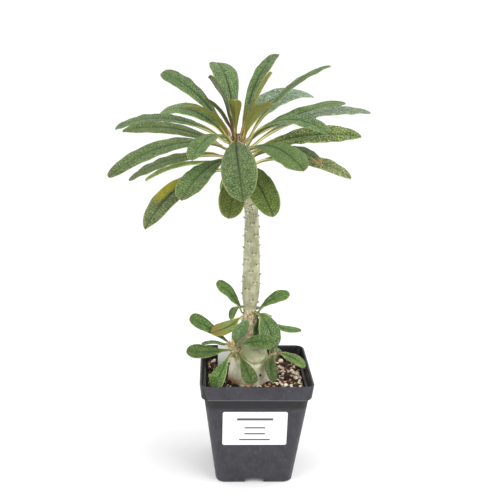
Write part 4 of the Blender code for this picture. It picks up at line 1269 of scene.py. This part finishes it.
def half_width(leaf, shares):
    """Half the width at shares of the length: a narrow stalk, a long taper and a round tip."""
    blade = np.clip((shares - PETIOLE_SHARE) / (1 - PETIOLE_SHARE), 0, 1)
    peak = leaf.taper / (leaf.taper + leaf.blunt)
    form = blade**leaf.taper * (1 - blade) ** leaf.blunt / (peak**leaf.taper * (1 - peak) ** leaf.blunt)
    stalk = stalk_width(leaf) / 2 * (1 - blade)
    return stalk + (leaf.width / 2 - stalk) * form


def vein_net(x, y, scale, seed):
    """How high each point stands between the veins, how near a vein it is, and the shade of its own cell.

    The cells lie in slanting rows on both sides of the midrib, out of true by the jitter, and the veins run
    where two cells are equally near.
    """
    rng = np.random.default_rng(seed)
    across, along = CELL_WIDTH * scale, CELL_LENGTH * scale
    out, on = np.meshgrid(np.arange(0.5, x.max() / across + 1), np.arange(-4, y.max() / along + 1))
    centres = []
    for hand in (-1, 1):
        place = (out + rng.uniform(-CELL_JITTER, CELL_JITTER, out.shape)) * across
        row = (on + rng.uniform(-CELL_JITTER, CELL_JITTER, on.shape)) * along + VEIN_SLOPE * place
        centres.append(np.stack([hand * place, row], -1).reshape(-1, 2))
    centres = np.concatenate(centres)
    away = np.hypot(x.reshape(-1, 1) - centres[:, 0], y.reshape(-1, 1) - centres[:, 1])
    nearest, second = np.partition(away, (0, 1), axis=1)[:, :2].T
    between = ((second - nearest) / across).reshape(x.shape)
    shade = rng.uniform(0, 1, len(centres))[away.argmin(1)].reshape(x.shape)
    dome = ease(0, CELL_RIM, between) * (CELL_LOW + (1 - CELL_LOW) * shade)
    return dome, np.exp(-((between / VEIN_WIDTH) ** 2)), shade


def leaf_surface(leaf, shares, columns, seed):
    """Over a grid of shares and columns: how far across, the blade's top and underside, and its values."""
    share, column = shares[:, None], columns[None, :]
    uneven = ripple(seed, 0.35, share, np.sign(column)) + ripple(seed + 5, 0.12, share, column)
    half = half_width(leaf, share) * (1 + EDGE_UNEVEN * uneven)
    blade = ease(PETIOLE_SHARE, PETIOLE_SHARE + BLADE_SPREAD, share)
    x, y = column * half, share * leaf.length + 0 * column
    edge = np.abs(column)
    scale = CELL_LEAST + (1 - CELL_LEAST) * ease(*CELL_GROWTH, leaf.width)
    dome, vein, shade = vein_net(x, y, scale, seed)
    rib = np.exp(-((x / RIB_WIDTH) ** 2))
    calm = blade * (1 - rib) * (1 - ease(0.86, 1.0, edge)) * ease(0.0, 0.05, 1 - share)
    pleat = leaf.fold * (np.sqrt(edge**2 + 0.004) - 0.06) - CURL * edge**2
    wave = WAVE_SHARE * edge**2 * ripple(seed + 2, WAVE_LENGTH, y, np.sign(column) * 0.02 + x * 0)
    lift = half * (pleat + wave - EDGE_DROP * ease(0.88, 1.0, edge)) * blade
    channel = CHANNEL * half * edge * (1 - blade)
    stalk = stalk_width(leaf) * PETIOLE_DEPTH * (1 - blade) * np.sqrt(np.clip(1 - edge**2, 0, 1))
    top = lift + channel + PUCKER * dome * calm + stalk * PETIOLE_TOP - RIB_GROOVE * rib * blade
    thin = np.clip(1 - edge**10, 0, 1) ** 0.5
    depth = (THICKNESS + RIB_KEEL * rib * (1.2 - share)) * blade * thin + stalk * (1 - PETIOLE_TOP)
    values = {"vein": vein * (0.25 + 0.75 * calm), "shade": shade * (1 - vein), "rib": rib**0.5 * blade}
    values |= {"along": share + 0 * x, "across": column + 0 * x}
    return x, top, top - depth, values


def build_leaf(name, node, leaf, material, seed):
    """One leaf as a closed skin: over the top from margin to margin, and back along the underside."""
    shares = 1 - (1 - np.linspace(0, LAST_RING, int(leaf.length / LEAF_STEP))) ** TIP_CROWDING
    reach = np.linspace(1, -1, 2 * max(6, round(leaf.width / COLUMN_STEP / 2)) + 1)
    columns = np.sign(reach) * np.abs(reach) ** RIB_CROWDING
    path, directions = leaf_midrib(leaf)
    points, sides, uppers = leaf_frames(leaf, (path, directions), shares)
    x, top, bottom, values = leaf_surface(leaf, shares, columns, seed)
    back = np.arange(1, len(columns) - 1, 1 if len(columns) < NARROW_COLUMNS else 2)[::-1]

    def round_skin(over, beneath):
        return np.concatenate([over, beneath[:, back]], 1)

    across, up = round_skin(x, x)[..., None], round_skin(top, bottom)[..., None]
    rings = points[:, None] + sides[:, None] * across + uppers[:, None] * up
    centre = rings[:1].mean(1, keepdims=True)
    foot = centre + (rings[:1] - centre) * FOOT_SPREAD - directions[0] * SUNK
    neck = centre + (rings[:1] - centre) * NECK_SPREAD
    rings = np.concatenate([foot, neck, rings[1:]])
    grids = {key: round_skin(grid, grid) for key, grid in values.items()}
    grids["under"] = round_skin(np.zeros_like(x), np.ones_like(x))
    numbers = {key: np.concatenate([grid[0], grid.ravel(), grid[-1, -1:]]) for key, grid in grids.items()}
    vertices = np.concatenate([rings.reshape(-1, 3), path[-1:]])
    make_piece(name, vertices, tube_faces(*rings.shape[:2]), material, node, numbers)


def build_leaves():
    """Every leaf, each with its own material and its own seed."""
    groups = (("crown", CROWN_LEAVES, CROWN_LOOKS), ("lower", LOWER_LEAVES, LOWER_LOOKS))
    for group, leaves, looks in groups:
        for number, (leaf, (look, light, warmth)) in enumerate(zip(leaves, looks), start=1):
            # painted light and shade in part: each leaf's lightness makes lighter and darker copies of one
            # look
            material = leaf_material(f"{group}_{number:02d}", tinted(LOOKS[look], light, warmth))
            name, node = f"{group}_blade_{number:02d}", f"{group}_leaf_{number:02d}"
            build_leaf(name, node, leaf, material, 10 * number + len(group))


def within_wall(height):
    """Half the width of what the pot holds at this height."""
    return body_width(height) / 2 - WALL - GAP


def build_soil_bed():
    """The dark earth between the grains, down to the pot's floor."""
    square = heading(np.arange(SOIL_TURNS) * 360 / SOIL_TURNS, 0)[:, :2]
    square /= (np.abs(square) ** SQUARENESS).sum(1, keepdims=True) ** (1 / SQUARENESS)
    within_notches = within_wall(0) - NOTCH_DEPTH
    rows = [(SOIL_FOOT, within_notches), (SOIL_LEDGE, within_notches)]
    rows += [(height, within_wall(height)) for height in (SOIL_LEDGE + GAP, SOIL_SHOULDER)]
    rings = [np.column_stack([square * half, np.full(SOIL_TURNS, height)]) for height, half in rows]
    for ring in range(SOIL_RINGS):
        flat = square * within_wall(SOIL_LEVEL) * (1 - ring / SOIL_RINGS)
        rough = ripple(31, 0.004, *flat.T) + ripple(32, 0.011, *flat.T)
        rings.append(np.column_stack([flat, SOIL_LEVEL + SOIL_ROUGH * rough - SOIL_ROUGH]))
    points = np.concatenate([*rings, [[0, 0, SOIL_LEVEL]]])
    faces = tube_faces(len(rings), SOIL_TURNS)
    shade = np.clip(0.5 + 0.5 * ripple(33, 0.005, *points[:, :2].T), 0, 1)
    earth = grain_material("dark earth", (0.014, 0.008, 0.006), (0.045, 0.022, 0.014), 0.0012)
    make_piece("soil_bed", points, faces, earth, "soil", {"grain": shade})


def ball():
    """The points and faces of a ball of 80 triangles."""
    work = bmesh.new()
    bmesh.ops.create_icosphere(work, subdivisions=2, radius=0.5)
    points = np.array([vertex.co for vertex in work.verts])
    faces = np.array([[vertex.index for vertex in face.verts] for face in work.faces])
    work.free()
    return points, faces


def grit_spot(rng, kind, trunk, clear):
    """A place on the soil for one grain, and its size, clear of the pot, the trunk and the tag."""
    while True:
        place = rng.uniform(-GRIT_SPREAD, GRIT_SPREAD, 2)
        size = rng.uniform(*kind.sizes)
        # painted shade in part: pale grains keep mostly to the right and front, so the left and back look
        # darker
        likely = PALE_LEAST + (1 - PALE_LEAST) * ease(-PALE_FADE, PALE_FADE, place[0] - place[1])
        if kind.pale and rng.uniform() > likely:
            continue
        off_pot = np.abs(place).max() + size / 2 <= GRIT_SPREAD
        off_trunk = np.linalg.norm(place - trunk) >= clear + size * 0.3
        off_tag = (np.abs(place - TAG_TOP[:2]) >= (TAG_WIDTH / 2, TAG_CLEAR)).any()
        if off_pot and off_trunk and off_tag:
            return place, size


def grain_shape(rng, kind, size, sphere):
    """The points of one lumpy grain, squeezed and turned."""
    turn = np.array(Matrix.Rotation(rng.uniform(0, 2 * pi), 3, Vector(rng.normal(size=3)).normalized()))
    lumps = ripple(int(rng.integers(1000)), 0.9, *sphere.T)
    shape = sphere * (1 + GRIT_LUMPS * lumps)[:, None]
    return shape * rng.uniform(*kind.squeeze, 3) @ turn.T * size


def build_grit(rng):
    """Loose grains of four kinds, scattered over the soil."""
    sphere, triangles = ball()
    skin = trunk_surface(SOIL_LEVEL, np.arange(0, 360, 5))[:, :2]
    trunk = skin.mean(0)
    clear = np.linalg.norm(skin - trunk, axis=1).mean() + GRIT_CLEAR
    for name, kind in GRIT.items():
        points, faces, shades = [], [], []
        for _ in range(kind.count):
            place, size = grit_spot(rng, kind, trunk, clear)
            shape = grain_shape(rng, kind, size, sphere)
            lift = SOIL_LEVEL + rng.uniform(0.0, GRIT_LIFT) + size * (0.2 if kind.pale else 0.1)
            faces += (triangles + len(points)).tolist()
            points += [*(shape + (*place, lift))]
            shades += [rng.uniform()] * len(sphere)
        stone = grain_material(kind.material, kind.dark, kind.light, kind.pores)
        make_piece(name, points, faces, stone, values={"grain": shades}, shading="flat")


def build_studio():
    """A white sweep under and behind the pot, a soft key light from the right and a bright surround."""
    profile = [(SWEEP_FRONT, 0.0)]
    for turn in np.linspace(0, pi / 2, SWEEP_STEPS + 1):
        profile.append((SWEEP_BACK - SWEEP_BEND * (1 - sin(turn)), SWEEP_BEND * (1 - cos(turn))))
    profile.append((SWEEP_BACK, SWEEP_HEIGHT))
    points = [(x, y, z) for y, z in profile for x in (-SWEEP_SIDE, SWEEP_SIDE)]
    faces = [[2 * k, 2 * k + 1, 2 * k + 3, 2 * k + 2] for k in range(len(profile) - 1)]
    sweep = loose_mesh("sweep", points, faces)
    white = mottled_material("studio white", 0.9, 0.5, (0.92, 0.92, 0.925), (0.94, 0.94, 0.94))
    sweep.data.materials.append(white)
    sweep.data.shade_smooth()
    world = bpy.data.worlds.new("studio")
    world.use_nodes = True
    surround = world.node_tree.nodes["Background"].inputs
    surround["Color"].default_value = (1, 1, 1, 1)
    surround["Strength"].default_value = SURROUND
    bpy.context.scene.world = world
    bpy.context.scene.view_settings.view_transform = "Standard"
    for name, (place, target, size, power) in LIGHTS.items():
        add_light(name, Vector(place), Vector(target), size, power)


def add_light(name, place, target, size, power):
    light = bpy.data.lights.new(name, "AREA")
    light.size = size
    light.energy = power
    lamp = bpy.data.objects.new(name, light)
    lamp.location = place
    lamp.rotation_euler = (target - place).to_track_quat("-Z", "Y").to_euler()
    bpy.context.scene.collection.objects.link(lamp)


def add_camera():
    camera = bpy.data.cameras.new("camera")
    camera.sensor_width = CAMERA_SENSOR
    camera.lens = CAMERA_LENS
    camera.clip_start = CAMERA_NEAR
    viewer = bpy.data.objects.new("camera", camera)
    turn = Matrix.Rotation(radians(-CAMERA_YAW), 4, "Z")
    tilt = Matrix.Rotation(radians(90 - CAMERA_PITCH), 4, "X")
    roll = Matrix.Rotation(radians(CAMERA_ROLL), 4, "Z")
    viewer.matrix_world = Matrix.Translation(CAMERA_PLACE) @ turn @ tilt @ roll
    bpy.context.scene.collection.objects.link(viewer)
    bpy.context.scene.camera = viewer


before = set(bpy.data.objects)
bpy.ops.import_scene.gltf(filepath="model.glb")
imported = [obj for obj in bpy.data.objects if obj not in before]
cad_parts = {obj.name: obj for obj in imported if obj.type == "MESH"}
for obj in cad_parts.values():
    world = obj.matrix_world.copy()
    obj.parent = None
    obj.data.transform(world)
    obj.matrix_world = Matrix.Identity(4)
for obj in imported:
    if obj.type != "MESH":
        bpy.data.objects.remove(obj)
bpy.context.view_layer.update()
random = np.random.default_rng(SEED)
add_camera()
build_studio()
build_pot()
build_label()
build_tag()
build_soil_bed()
build_grit(random)
build_trunk()
build_shoots()
build_stem_stipules(random)
build_neck_scales(random)
build_crown_stipules(random)
build_shoot_stipules(random)
build_leaves()
